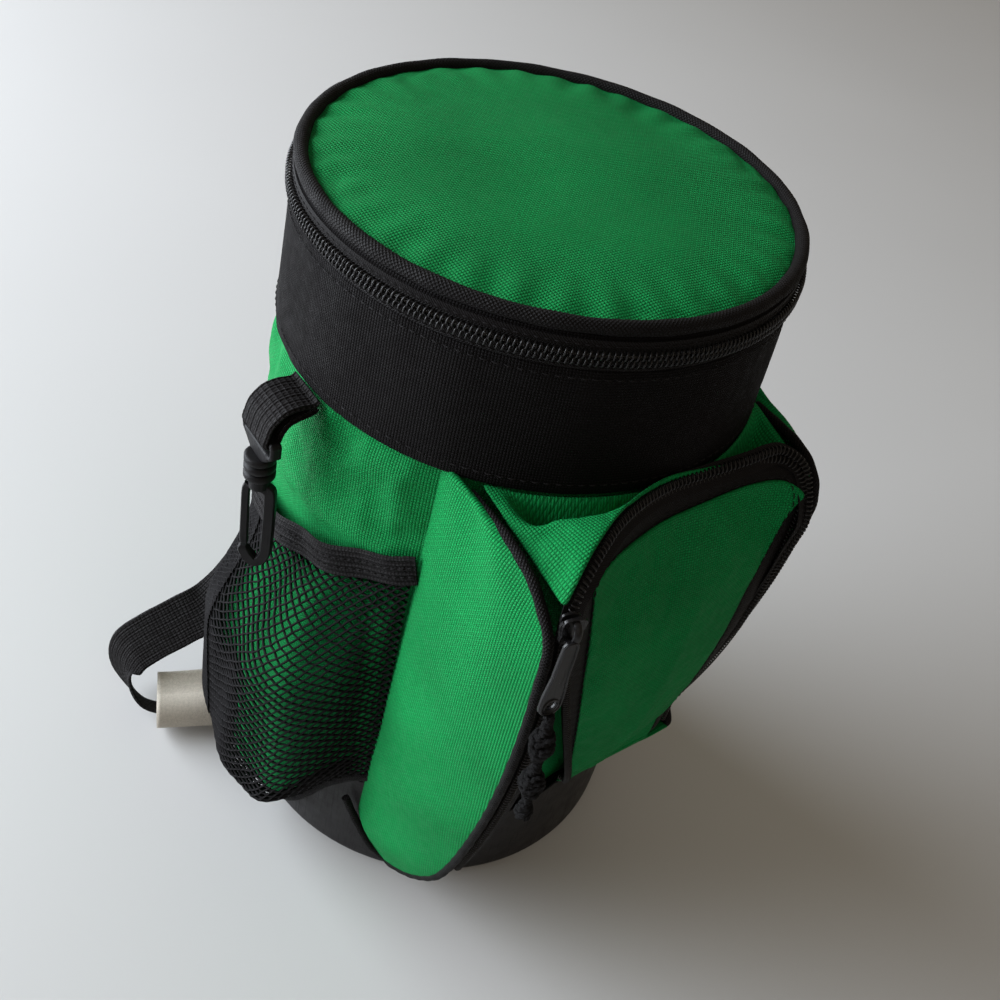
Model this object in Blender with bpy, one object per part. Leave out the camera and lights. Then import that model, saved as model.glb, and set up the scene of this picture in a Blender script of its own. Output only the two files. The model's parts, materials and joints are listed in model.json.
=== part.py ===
"""Round insulated cooler bag: zipped lid, front pocket with a fold-down flap, mesh side pocket,
swivel snap hook and carrying strap. Metres, +Z up, origin at the centre of the base underside,
front of the bag towards -Y."""

import math

import bmesh
import bpy
from mathutils import Matrix, Vector

# Driving dimensions
SHELL_R = 0.0815      # outside of the green body fabric
BASE_R = 0.0828       # outside of the base cup
BASE_H = 0.058
COLLAR_Z = 0.2238     # lower edge of the collar
ZIP_Z = 0.2730        # seam of the lid zipper
RIM_Z = 0.2814        # centre of the piping round the lid
RIM_R = 0.0792        # its distance from the bag's axis
GAP = 0.0003          # between pieces that are sewn or lie together
CLOTH = 0.0010        # fabric thickness
FOAM = 0.0057         # insulation in the wall
COIL_R = 0.0011       # half the thickness of one zipper coil row
PIPING_R = 0.0023
SEGMENTS = 48
STEP_DEG = 360 / SEGMENTS
WEB_DEG = 37.5        # half angle of the fabric web that hinges the lid
HINGE_Y = 0.0845      # lid hinge line, just behind the back wall

# Front pocket: two upright side panels, front edges bowed on one large radius
POCKET_X = 0.0580     # middle of a side panel
EDGE_R = 0.400
LEFT_EDGE = (0.1110, 0.165)    # furthest reach forward, and its height
RIGHT_EDGE = (0.1060, 0.205)
POCKET_TOP = 0.2215
FLAP_Z = 0.070        # lower edge of the flap
FLAP_X = 0.0532       # half width of the flap
FLAP_AXIS = Vector((0.0, -0.0870, 0.0675))
SLIDER_Z = 0.208      # rest height of the pocket slider
# Upper stretch of the pocket zipper, from its left corner to its right one
ARCH = [
    (-0.0560, -0.1092, 0.2110), (-0.0500, -0.1058, 0.2200), (-0.0410, -0.1003, 0.2252),
    (-0.0260, -0.0927, 0.2268), (-0.0070, -0.0874, 0.2264), (0.0110, -0.0868, 0.2260),
    (0.0300, -0.0882, 0.2266), (0.0440, -0.0918, 0.2258), (0.0520, -0.0985, 0.2205),
    (0.0560, -0.1050, 0.2130),
]

# Snap hook, on the left side
HOOK_X = -0.0980
HOOK_TOP = 0.2125
CLIP_Y = -0.0040      # how far to the front of the bag's side the clip hangs
HOOK_TURN = math.radians(48)     # how far the hook stands turned on its swivel

SLIDER_DEG = 135      # lid slider: angle from the front, to the right

BLACK = (0.012, 0.011, 0.012, 1)
GREEN = (0.006, 0.300, 0.105, 1)
SILVER = (0.75, 0.76, 0.77, 1)
WHITE = (0.82, 0.81, 0.78, 1)
GREY = (0.35, 0.35, 0.36, 1)


def material(name, colour, roughness, metallic=0.0):
    """One Principled material with the piece's colour and shine."""
    made = bpy.data.materials.new(name)
    made.use_nodes = True
    shader = made.node_tree.nodes["Principled BSDF"]
    shader.inputs["Base Color"].default_value = colour
    shader.inputs["Roughness"].default_value = roughness
    shader.inputs["Metallic"].default_value = metallic
    made.diffuse_color = colour
    return made


def add(name, data, colour, roughness, parent=None, metallic=0.0):
    """Puts mesh or curve data in the scene, with its material, hung from its joint's empty if it moves."""
    piece = bpy.data.objects.new(name, data)
    data.materials.append(material(name, colour, roughness, metallic))
    bpy.context.scene.collection.objects.link(piece)
    if parent:
        piece.parent = parent
        piece.location = -world_place(parent)
    return piece


def world_place(empty):
    """World position of an empty in a chain of unrotated empties."""
    place = empty.location.copy()
    while empty.parent:
        empty = empty.parent
        place += empty.location
    return place


def pivot(name, place, parent=None):
    """An empty on a joint's axis."""
    empty = bpy.data.objects.new(name, None)
    bpy.context.scene.collection.objects.link(empty)
    empty.location = Vector(place)
    if parent:
        empty.location -= world_place(parent)
        empty.parent = parent
    return empty


def polar(degrees, radius, height):
    """A point by its angle from the front towards the right, its distance from the bag's axis and its height."""
    angle = math.radians(degrees)
    return Vector((radius * math.sin(angle), -radius * math.cos(angle), height))


def turned(name, outline, colour, roughness, parent=None):
    """A body of revolution about Z. The outline, as (radius, height), runs down its outer side."""
    mesh = bpy.data.meshes.new(name)
    bm = bmesh.new()
    points = [bm.verts.new((radius, 0, height)) for radius, height in outline]
    for first, second in zip(points, points[1:]):
        bm.edges.new((first, second))
    if outline[0][0] > 0:
        bm.edges.new((points[-1], points[0]))
    bm.to_mesh(mesh)
    bm.free()
    piece = add(name, mesh, colour, roughness, parent)
    screw = piece.modifiers.new("turn", "SCREW")
    screw.axis = "Z"
    screw.steps = SEGMENTS
    screw.render_steps = SEGMENTS
    screw.use_merge_vertices = True
    screw.merge_threshold = 0.00001
    screw.use_smooth_shade = True
    return piece


def tube(name, outer, inner, low, high, colour, roughness, parent=None):
    """A plain round tube."""
    outline = [(outer, high), (outer, low), (inner, low), (inner, high)]
    return turned(name, outline, colour, roughness, parent)


def disc(name, radius, low, high, colour, roughness, parent=None, rise=0.0):
    """A round disc, whose top may be crowned by a rise."""
    crown = [(0, high + rise), (radius * 0.6, high + rise * 0.7)] if rise else [(0, high)]
    outline = crown + [(radius, high), (radius, low), (0, low)]
    return turned(name, outline, colour, roughness, parent)


def sheet(name, rows, thickness, colour, roughness, parent=None):
    """A fabric piece of even thickness, whose middle surface passes through rows of points."""
    mesh = bpy.data.meshes.new(name)
    bm = bmesh.new()
    grid = [[bm.verts.new(point) for point in row] for row in rows]
    for lower, upper in zip(grid, grid[1:]):
        for left in range(len(lower) - 1):
            bm.faces.new((lower[left], lower[left + 1], upper[left + 1], upper[left]))
    bmesh.ops.recalc_face_normals(bm, faces=bm.faces)
    bm.to_mesh(mesh)
    bm.free()
    mesh.shade_smooth()
    mesh.set_sharp_from_angle(angle=math.radians(40))
    piece = add(name, mesh, colour, roughness, parent)
    solid = piece.modifiers.new("thickness", "SOLIDIFY")
    solid.thickness = thickness
    solid.offset = 0
    return piece


def cord(name, points, radius, colour, roughness, parent=None, sides=1, scales=None):
    """A round cord along points, closed at its ends."""
    curve = bpy.data.curves.new(name, "CURVE")
    curve.dimensions = "3D"
    curve.bevel_depth = radius
    curve.bevel_resolution = sides
    curve.use_fill_caps = True
    spline = curve.splines.new("POLY")
    spline.points.add(len(points) - 1)
    for index, point in enumerate(points):
        spline.points[index].co = (*point, 1)
        spline.points[index].radius = scales[index] if scales else 1
    spline.use_smooth = True
    return add(name, curve, colour, roughness, parent)


def block(name, size, place, colour, roughness, parent=None, turn=0.0, bevel=0.0):
    """A box with rounded edges, turned about Z by an angle in degrees."""
    mesh = bpy.data.meshes.new(name)
    bm = bmesh.new()
    shape = Matrix.Translation(place) @ Matrix.Rotation(math.radians(turn), 4, "Z") @ Matrix.Diagonal((*size, 1))
    bmesh.ops.create_cube(bm, size=1, matrix=shape)
    bm.to_mesh(mesh)
    bm.free()
    piece = add(name, mesh, colour, roughness, parent)
    if bevel:
        rounding = piece.modifiers.new("rounding", "BEVEL")
        rounding.width = bevel
        rounding.segments = 2
    return piece


def cutter(name, size, place, turn=0.0):
    """A hidden box that only shapes another piece."""
    tool = block(name, size, place, BLACK, 0.5, turn=turn)
    tool.hide_render = True
    tool.display_type = "WIRE"
    return tool


def combine(piece, tool, operation):
    """Joins a hidden tool to a piece, or cuts it away. The tool hangs where the piece hangs."""
    if piece.parent:
        tool.parent = piece.parent
        tool.location = -world_place(piece.parent)
    boolean = piece.modifiers.new(tool.name, "BOOLEAN")
    boolean.operation = operation
    boolean.solver = "EXACT"
    boolean.object = tool


def arc_angles(start, end):
    """Angles on the same facets as the round pieces, from start to end in degrees."""
    count = round((end - start) / STEP_DEG)
    return [start + (end - start) * index / count for index in range(count + 1)]


def band(name, radius, thickness, low, high, start, end, colour, roughness, parent=None):
    """Part of a round band, by its middle radius."""
    rows = [[polar(angle, radius, height) for angle in arc_angles(start, end)] for height in (low, high)]
    return sheet(name, rows, thickness, colour, roughness, parent)


def base():
    """Cup, stiff board and foam under the cans."""
    edge = 0.003
    floor = 0.0012
    wall = 0.0010
    outline = [(BASE_R, BASE_H), (BASE_R, edge), (BASE_R - edge * 0.3, edge * 0.3), (BASE_R - edge, 0), (0, 0)]
    outline = outline + [(0, floor), (BASE_R - wall, floor), (BASE_R - wall, BASE_H)]
    cup = [outline[index] for index in (5, 6, 7, 0, 1, 2, 3, 4)]
    turned("base_cup", cup, BLACK, 0.55)
    board_top = floor + GAP + 0.0025
    disc("base_board", SHELL_R - CLOTH - 2 * GAP, floor + GAP, board_top, GREY, 0.5)
    disc("base_foam", SHELL_R - CLOTH - 2 * GAP, board_top + GAP, FOAM_TOP, SILVER, 0.9)


FOAM_TOP = 0.0093
WALL_TOP = 0.2660
WALL_R = SHELL_R - CLOTH - GAP
LINER_R = WALL_R - FOAM - GAP


def walls():
    """Outer fabric, foam sleeve, waterproof liner and collar."""
    liner = 0.0004
    inside = LINER_R - liner
    floor = FOAM_TOP + GAP
    tube("body_shell", SHELL_R, SHELL_R - CLOTH, 0.0015, COLLAR_Z - GAP, GREEN, 0.8)
    tube("wall_foam", WALL_R, WALL_R - FOAM, floor, WALL_TOP, WHITE, 0.9)
    cup = [(0, floor + liner), (inside, floor + liner), (inside, WALL_TOP), (LINER_R, WALL_TOP), (LINER_R, floor), (0, floor)]
    turned("inner_liner", cup, SILVER, 0.35)
    tube("collar_band", 0.0826, SHELL_R - CLOTH, COLLAR_Z, ZIP_Z - 0.0040, BLACK, 0.8)


def lid_zipper(side, name, parent=None):
    """Half of the lid zipper: a tape and a coil row, below the seam with side -1 and above it with side 1."""
    span = 180 - WEB_DEG
    coil = sorted((ZIP_Z + side * 0.0002, ZIP_Z + side * 0.0014))
    tape = sorted((ZIP_Z + side * 0.0017, ZIP_Z + side * 0.0037))
    band(name + "_zip_coil", 0.0827, 0.0022, *coil, -span, span, BLACK, 0.3, parent)
    band(name + "_zip_tape", 0.0818, CLOTH, *tape, -span, span, BLACK, 0.8, parent)


def lid():
    """Panel, piping, side band, foam and liner that turn on the web at the back."""
    axis = pivot("lid_axis", (0, HINGE_Y, ZIP_Z))
    lid_zipper(-1, "collar")
    lid_zipper(1, "lid", axis)
    band("lid_hinge_web", 0.0822, CLOTH, ZIP_Z - 0.0037, ZIP_Z - 0.0002, 180 - WEB_DEG + 0.4, 180 + WEB_DEG - 0.4,
         BLACK, 0.8)
    low = ZIP_Z + 0.0040
    high = RIM_Z - PIPING_R - GAP
    side = [(RIM_R + 0.0012, high), (0.0822, low), (0.0808, low), (RIM_R - 0.0002, high)]
    turned("lid_side_band", side, BLACK, 0.8, axis)
    sides = 8
    around = [math.tau * index / sides for index in range(sides)]
    outline = [(RIM_R + PIPING_R * math.cos(turn), RIM_Z - PIPING_R * math.sin(turn)) for turn in around]
    turned("lid_piping", outline, BLACK, 0.7, axis)
    disc("lid_top_panel", RIM_R - PIPING_R - GAP, 0.2799, 0.2814, GREEN, 0.8, axis, rise=0.0030)
    disc("lid_foam", RIM_R - 0.0012, 0.2692, high, WHITE, 0.9, axis)
    disc("lid_liner", 0.0790, 0.2668, 0.2688, SILVER, 0.35, axis)


def slider(name, place, turn, length, across, parent):
    """Zipper slider: a body with a bridge on top that holds the puller. Length runs along X before the turn."""
    depth = 0.0032
    out = Matrix.Rotation(math.radians(turn), 3, "Z") @ Vector((0, -1, 0))
    middle = Vector(place) + out * depth / 2
    body = block(name, (length, depth, across), middle, BLACK, 0.35, parent, turn, 0.0006)
    bridge = cutter(name + "_bridge", (length * 0.25, 0.0030, across * 0.55), middle + out * 0.0012, turn)
    combine(body, bridge, "UNION")
    return body


def puller(name, place, width, length, turn, parent, lean=0.0):
    """Flat pull tab that hangs from its upper edge, with a hole at its lower end."""
    hang = Matrix.Rotation(math.radians(turn), 3, "Z") @ Matrix.Rotation(-lean, 3, "X")
    middle = Vector(place) + hang @ Vector((0, 0, -length / 2))
    tab = block(name, (width, 0.0014, length), (0, 0, 0), BLACK, 0.3, parent, 0, 0.0005)
    hole = cutter(name + "_hole", (width * 0.45, 0.01, width * 0.4), (0, 0, -length * 0.36))
    for piece in (tab, hole):
        piece.data.transform(Matrix.Translation(middle) @ hang.to_4x4())
    combine(tab, hole, "DIFFERENCE")


def lid_slider():
    """Slider of the lid zipper, free to run round the bag, and its pull tab."""
    axis = pivot("lid_slider_axis", (0, 0, ZIP_Z))
    slider("lid_slider", polar(SLIDER_DEG, 0.0843, ZIP_Z), SLIDER_DEG, 0.0100, 0.0078, axis)
    hinge = polar(SLIDER_DEG, 0.0898, ZIP_Z - 0.001)
    puller("lid_puller", hinge + Vector((0, 0, 0.001)), 0.0080, 0.0290, SLIDER_DEG, pivot("lid_puller_axis", hinge, axis))


def edge_y(edge, height):
    """Where the front edge of a side panel stands at a height."""
    reach, middle = edge
    return -(reach - (height - middle) ** 2 / (2 * EDGE_R))


def edge_points(side, edge, lowest, shrink, inset=0.0):
    """Front edge of one side panel, from the collar round the top corner and down, drawn in by shrink."""
    top = POCKET_TOP - shrink
    corner = [(-0.0625, top), (-0.0830, top), (-0.0945 + shrink * 0.4, top - 0.0030)]
    corner = corner + [(-0.1020 + shrink * 0.7, top - 0.0085)]
    heights = [0.2040, 0.185, 0.165, 0.140, 0.110, 0.080, 0.062]
    front = [(edge_y(edge, height) + shrink, height) for height in heights if height > lowest + 0.010]
    return [Vector((side * (POCKET_X - inset), y, z)) for y, z in corner + front]


LEFT_FOOT = [(-0.0920, 0.046), (-0.0800, 0.028), (-0.0670, 0.0150), (-0.0625, 0.0120)]
RIGHT_FOOT = [(-0.0850, 0.064), (-0.0760, 0.0600), (-0.0625, 0.0590)]


def foot_points(side, foot, shrink, inset=0.0):
    """Lower end of a side panel's edge, back to the body."""
    return [Vector((side * (POCKET_X - inset), y + shrink * 0.8, z + shrink * 0.6)) for y, z in foot]


def side_panel(name, side, edge, foot):
    """Upright side panel of the pocket."""
    shrink = 2 * PIPING_R * 0.62 + GAP
    outline = edge_points(side, edge, foot[0][1], shrink) + foot_points(side, foot, shrink)
    inner = -0.0604
    outline[0].y = inner
    outline[-1].y = inner
    mesh = bpy.data.meshes.new(name)
    bm = bmesh.new()
    bm.faces.new([bm.verts.new(point) for point in outline])
    bm.to_mesh(mesh)
    bm.free()
    piece = add(name, mesh, GREEN, 0.8)
    solid = piece.modifiers.new("thickness", "SOLIDIFY")
    solid.thickness = CLOTH
    solid.offset = 0


def arch(x):
    """Point of the zipper's upper stretch at x, on a smooth curve through the corners of ARCH."""
    path = smooth_path(ARCH, 6)
    for first, second in zip(path, path[1:]):
        if x <= second.x:
            break
    return first.lerp(second, (x - first.x) / (second.x - first.x))


def spread(half, count=11):
    """Evenly spaced values from -half to half."""
    return [-half + 2 * half * index / (count - 1) for index in range(count)]


def outer_arch():
    """Points of the pocket's coil row along the arch, which passes round the outside of the flap's row."""
    return [arch(x) + Vector((x * 0.045, 0, 0.0008)) for x in spread(FLAP_X)]


def pocket_body():
    """Side panels with their pipings, the top and bottom gussets and the outer half of the zipper."""
    for label, side, edge, foot in (("left", -1, LEFT_EDGE, LEFT_FOOT), ("right", 1, RIGHT_EDGE, RIGHT_FOOT)):
        side_panel(f"pocket_{label}_panel", side, edge, foot)
        path = edge_points(side, edge, foot[0][1], 0) + foot_points(side, foot, 0)
        cord(f"pocket_{label}_piping", path, PIPING_R / 2, BLACK, 0.7)
    pocket_top()
    pocket_floor()
    outer_zipper()


def pocket_top():
    """Green gusset between the collar and the zipper's upper stretch."""
    front = [point + Vector((0, 0.0014, 0.0022)) for point in outer_arch()]
    back = [Vector((point.x, -math.sqrt(0.0833 ** 2 - point.x ** 2), 0.2222)) for point in front]
    sheet("pocket_top_gusset", [back, front], 0.0008, GREEN, 0.8)


def pocket_floor():
    """Bottom of the pocket: close to the body on the left, and drawn out to the flap's edge on the right."""
    half = 0.0562
    count = 9
    front = []
    back = []
    for index in range(count):
        share = index / (count - 1)
        x = -half + 2 * half * share
        body = math.sqrt(0.0839 ** 2 - x * x)
        height = 0.016 + 0.048 * min(1, share * 2) ** 0.7
        reach = max(body + 0.0022, 0.0868 * min(1, share * 2) ** 0.3)
        front.append(Vector((x, -reach, height)))
        back.append(Vector((x, -body, height - 0.0035)))
    sheet("pocket_floor", [back, front], 0.0008, GREEN, 0.8)


def outer_zipper():
    """Half of the pocket zipper that stays with the pocket: down the left edge, over the top, down the right."""
    left = [Vector((-0.0556, edge_y(LEFT_EDGE, z) - 0.0002, z)) for z in (0.055, 0.080, 0.110, 0.140, 0.170, 0.195, 0.2095)]
    right = [Vector((0.0556, edge_y(RIGHT_EDGE, z) - 0.0002, z)) for z in (0.2095, 0.195, 0.165, 0.130, 0.100, 0.076)]
    cord("pocket_zip_coil", left + outer_arch() + right, COIL_R, BLACK, 0.3)
    tape_left = [[point + Vector((0.0, shift, 0)) for point in left[:-1]] for shift in (0.0016, 0.0052)]
    sheet("pocket_zip_tape_left", tape_left, 0.0008, BLACK, 0.8)
    tape_right = [[point + Vector((0.0, shift, 0)) for point in right[1:]] for shift in (0.0016, 0.0052)]
    sheet("pocket_zip_tape_right", tape_right, 0.0008, BLACK, 0.8)


def flap_left(height):
    """Free left edge of the flap, which leans in towards the middle lower down."""
    share = (height - FLAP_Z) / (0.2105 - FLAP_Z)
    x = -FLAP_X + 0.0500 * (1 - share) ** 1.15
    y = -0.0880 - (0.1062 - 0.0880) * max(share, 0) ** 0.4
    return Vector((x, y, height))


def flap_right(height):
    """Zipped right edge of the flap."""
    return Vector((FLAP_X, min(edge_y(RIGHT_EDGE, height), -0.0880), height))


def flap_point(across, up):
    """Point of the flap's surface, blended from its four edges. Both shares run from 0 to 1."""
    top_z = 0.2105
    height = FLAP_Z + (top_z - FLAP_Z) * up
    sides = flap_left(height).lerp(flap_right(height), across)
    x = -FLAP_X + 2 * FLAP_X * across
    upper = arch(x) - Vector((0, 0, 0.0024))
    chord = flap_left(top_z).lerp(flap_right(top_z), across)
    return sides + (upper - chord) * up ** 3


def flap_strip(first, second, steps):
    """Two rows of flap points between two frames, each given as its distance in from the flap's edges."""
    rows = []
    for inset in (first, second):
        left = [(inset, up / steps * (1 - inset)) for up in range(steps)]
        top = [(inset + (1 - 2 * inset) * index / steps, 1 - inset) for index in range(steps)]
        right = [(1 - inset, (1 - up / steps) * (1 - inset)) for up in range(steps + 1)]
        rows.append([flap_point(across, up) for across, up in left + top + right])
    return rows


def pocket_flap():
    """Front of the pocket, with its half of the zipper, hinged along its lower edge."""
    axis = pivot("pocket_flap_axis", FLAP_AXIS)
    edge = 0.075
    steps = 8
    rows = []
    for level in range(steps + 1):
        up = (1 - edge) * level / steps
        rows.append([flap_point(edge + (1 - 2 * edge) * index / 10, up) for index in range(11)])
    sheet("flap_panel", rows, CLOTH, GREEN, 0.8, axis)
    sheet("flap_zip_tape", flap_strip(edge - 0.006, 0.018, steps), 0.0008, BLACK, 0.8, axis)
    cord("flap_zip_coil", flap_strip(0, 0, steps)[0], COIL_R * 0.9, BLACK, 0.3, axis)


def pocket_slider():
    """Slider on the left leg of the pocket zipper, its pull tab and the knotted cord tied to the tab."""
    reach, middle = LEFT_EDGE
    run = pivot("pocket_slider_axis", (0, EDGE_R - reach, middle))
    front = edge_y(LEFT_EDGE, SLIDER_Z) - COIL_R - 0.0009
    place = Vector((-0.0580, front, SLIDER_Z))
    slider("pocket_slider", place, 0, 0.0068, 0.0100, run)
    lean = math.radians(5)
    hinge = place + Vector((-0.0006, -0.0056, -0.0020))
    swing = pivot("pocket_puller_axis", hinge, run)
    length = 0.0280
    puller("pocket_puller", hinge, 0.0080, length, 0, swing, lean)
    along = Vector((0, -math.sin(lean), -math.cos(lean)))
    knot = hinge + along * (length + 0.0010)
    tie = pivot("puller_cord_axis", knot, swing)
    swell = [0.35, 0.9, 1.0, 0.55, 0.85, 0.9, 0.5, 0.55, 0.25]
    points = [knot + along * (0.0008 + 0.043 * index / (len(swell) - 1)) for index in range(len(swell))]
    cord("puller_cord", points, 0.0038, BLACK, 0.8, tie, scales=swell)


MESH_DEG = (-52.0, -121.0)
MESH_TOP = 0.1760


def ease(value, low, high):
    """Smooth step from 0 below low to 1 above high."""
    share = min(1, max(0, (value - low) / (high - low)))
    return share * share * (3 - 2 * share)


def mesh_share(degrees):
    """How far round the side pocket an angle lies, from 0 at its front seam to 1 at its rear one."""
    first, last = MESH_DEG
    return min(1, max(0, (degrees - first) / (last - first)))


def mesh_top(degrees):
    """Upper edge of the side pocket's net, which falls towards the back."""
    return MESH_TOP - 0.0360 * mesh_share(degrees) ** 0.9


def mesh_low(degrees):
    """Lower edge of the side pocket, which rises towards its front seam."""
    return 0.0220 + 0.0400 * (1 - ease(mesh_share(degrees), 0, 0.42))


def mesh_radius(degrees, height):
    """How far the side pocket stands out: drawn in along its top, full lower down, closed at the bottom."""
    share = mesh_share(degrees)
    round_the_bag = ease(share, 0, 0.36) * (1 - ease(share, 0.86, 1))
    below_top = 0.12 + 0.88 * ease(mesh_top(degrees) - height, 0, 0.060)
    above_low = ease(height - mesh_low(degrees), -0.004, 0.016)
    return 0.0845 + 0.0190 * round_the_bag * below_top * above_low


def mesh_rows(angles):
    """Rows of points of the side pocket from bottom to top, over the angles given."""
    shares = [0, 0.04, 0.1, 0.2, 0.35, 0.5, 0.65, 0.8, 0.9, 1]
    rows = []
    for share in shares:
        heights = [mesh_low(angle) + (mesh_top(angle) - mesh_low(angle)) * share for angle in angles]
        rows.append([polar(angle, mesh_radius(angle, height), height) for angle, height in zip(angles, heights)])
    return rows


def side_pocket():
    """Mesh pocket on the left side, with its elastic and the doubled strip along its rear edge."""
    first, last = MESH_DEG
    strip = -110.0
    net = [first + (strip - first) * index / 10 for index in range(11)]
    rear = [strip - 0.7 + (last - strip + 0.7) * index / 2 for index in range(3)]
    sheet("mesh_pocket", mesh_rows(net), 0.0008, BLACK, 0.9)
    sheet("mesh_rear_strip", mesh_rows(rear), 0.0010, BLACK, 0.9)
    around = [first + (last - first) * index / 12 for index in range(13)]
    elastic = []
    for rise in (0.0005, 0.0120):
        elastic.append([polar(angle, mesh_radius(angle, MESH_TOP), mesh_top(angle) + rise) for angle in around])
    sheet("mesh_elastic", elastic, 0.0014, BLACK, 0.8)


def snap_hook():
    """Webbing tab, ladder frame, swivelling barrel with its hook, and the hook's gate."""
    tab = pivot("clip_tab_axis", (-0.0845, CLIP_Y, 0.2210))
    half = 0.0085
    path = [(-0.0846, 0.2210), (-0.0885, 0.2212), (-0.0930, 0.2203), (-0.0965, 0.2170), (HOOK_X, HOOK_TOP + 3 * GAP)]
    rows = [[Vector((x, CLIP_Y + side * half, z)) for x, z in path] for side in (-1, 1)]
    sheet("clip_webbing", rows, 0.0024, BLACK, 0.8, tab)
    height = 0.0110
    middle = (HOOK_X, CLIP_Y, HOOK_TOP - height / 2)
    frame = block("clip_frame", (0.0050, 0.0210, height), middle, BLACK, 0.4, tab, 0, 0.001)
    slot = cutter("clip_frame_slot", (0.02, 0.0150, 0.0034), (HOOK_X, CLIP_Y, HOOK_TOP - 0.0042))
    combine(frame, slot, "DIFFERENCE")
    top = HOOK_TOP - height - GAP
    swivel = pivot("clip_swivel_axis", (HOOK_X, CLIP_Y, top), tab)
    barrel(top, swivel)
    hook_and_gate(top - 0.0105, swivel)


def barrel(top, parent):
    """Ribbed barrel between frame and hook, turned about its own upright axis."""
    ribs = []
    for rib in range(3):
        start = top - rib * 0.0034
        ribs += [(0.0052, start), (0.0052, start - 0.0024), (0.0044, start - 0.0026), (0.0044, start - 0.0032)]
    outline = [(0, top)] + ribs + [(0, ribs[-1][1])]
    piece = turned("clip_barrel", outline, BLACK, 0.4, parent)
    piece.modifiers["turn"].steps = 20
    piece.modifiers["turn"].render_steps = 20
    piece.location = Vector((0, 0, -world_place(parent).z))


def hook_place(across, height):
    """A point in the hook's own upright plane, by its distance from the swivel's axis."""
    return Vector((HOOK_X - across * math.sin(HOOK_TURN), CLIP_Y + across * math.cos(HOOK_TURN), height))


def hook_and_gate(top, parent):
    """Long hook with its nose turned up, and the gate that closes its open side."""
    half = 0.0040
    low = top - 0.0395
    path = [(0, top), (0, top - 0.0022), (-half, top - 0.0050), (-half, low + 0.009), (-half * 0.8, low + 0.004)]
    path += [(0, low + 0.0005), (half * 0.8, low + 0.004), (half, low + 0.0070)]
    cord("clip_hook", [hook_place(*point) for point in path], 0.0020, BLACK, 0.4, parent)
    hinge = hook_place(half, top - 0.0028)
    gate = pivot("clip_gate_axis", hinge, parent)
    bar = [hinge, hook_place(half, top - 0.0150), hook_place(half, low + 0.0070 + 4 * GAP)]
    cord("clip_gate", bar, 0.0015, BLACK, 0.4, gate)


def smooth_path(corners, between):
    """Points on a smooth curve through corners, with some added between each two."""
    path = []
    ends = [corners[0]] + corners + [corners[-1]]
    for index in range(len(corners) - 1):
        a, b, c, d = (Vector(point) for point in ends[index:index + 4])
        for step in range(between):
            t = step / between
            curve = 2 * b + (c - a) * t + (2 * a - 5 * b + 4 * c - d) * t * t + (3 * b - a - 3 * c + d) * t ** 3
            path.append(curve / 2)
    path.append(Vector(corners[-1]))
    return path


def carrying_strap():
    """Webbing strap from the back of the collar to the base. Its lower loop stands out, leans and narrows."""
    # Angle, distance and height of its middle, half its width, and how far it leans, in degrees
    stations = [
        (-113, 0.0846, 0.0092, 0.0052, 35), (-113, 0.1000, 0.0090, 0.0052, 35), (-113, 0.1160, 0.0090, 0.0054, 38),
        (-115, 0.1300, 0.0102, 0.0080, 42), (-119.5, 0.1385, 0.0170, 0.0100, 45), (-121, 0.1370, 0.0270, 0.0110, 48),
        (-122.5, 0.1280, 0.0350, 0.0110, 50), (-124.5, 0.1160, 0.0430, 0.0110, 50), (-128, 0.1040, 0.0520, 0.0110, 45),
        (-138, 0.0970, 0.0720, 0.0110, 22), (-154, 0.0920, 0.1150, 0.0110, 0), (-168, 0.0885, 0.1650, 0.0110, 0),
        (-180, 0.0868, 0.2190, 0.0110, 0),
    ]
    swing = pivot("strap_axis", polar(*stations[0][:3]))
    path = smooth_path([polar(angle, radius, height) for angle, radius, height, _, _ in stations], 3)
    widths = smooth_path([(half, math.radians(lean), 0) for _, _, _, half, lean in stations], 3)
    rows = ([], [])
    for index, (point, (half, lean, _)) in enumerate(zip(path, widths)):
        along = (path[min(index + 1, len(path) - 1)] - path[max(index - 1, 0)]).normalized()
        round_axis = Vector((-point.y, point.x, 0)).normalized()
        level = (round_axis - along * round_axis.dot(along)).normalized()
        across = level * math.cos(lean) + along.cross(level) * math.sin(lean)
        rows[0].append(point - across * half)
        rows[1].append(point + across * half)
    sheet("carrying_strap", rows, 0.0015, BLACK, 0.8, swing)
    care_label(swing)


def care_label(parent):
    """Blank label curled round the strap's lower end, open towards the front."""
    angle = -113.0
    front = polar(angle + 90, 1, 0)
    middle = 0.0092
    curl = 0.0078
    turns = [math.radians(-90 - 190 * step / 8) for step in range(9)]
    section = [(0.0130, 0.0012), (0.0060, 0.0012)]
    section += [(curl * math.cos(turn), middle + curl * math.sin(turn)) for turn in turns]
    rows = []
    for radius in (0.0860, 0.0970, 0.1075, 0.1170):
        rows.append([polar(angle, radius, height) + front * across for across, height in section])
    sheet("care_label", rows, 0.0006, WHITE, 0.6, parent)


def build():
    for old in list(bpy.data.objects):
        bpy.data.objects.remove(old, do_unlink=True)
    base()
    walls()
    lid()
    lid_slider()
    pocket_body()
    pocket_flap()
    pocket_slider()
    side_pocket()
    snap_hook()
    carrying_strap()


build()
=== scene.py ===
import json
import math

import bmesh
import bpy
import numpy as np
from mathutils import Matrix, Vector


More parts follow.
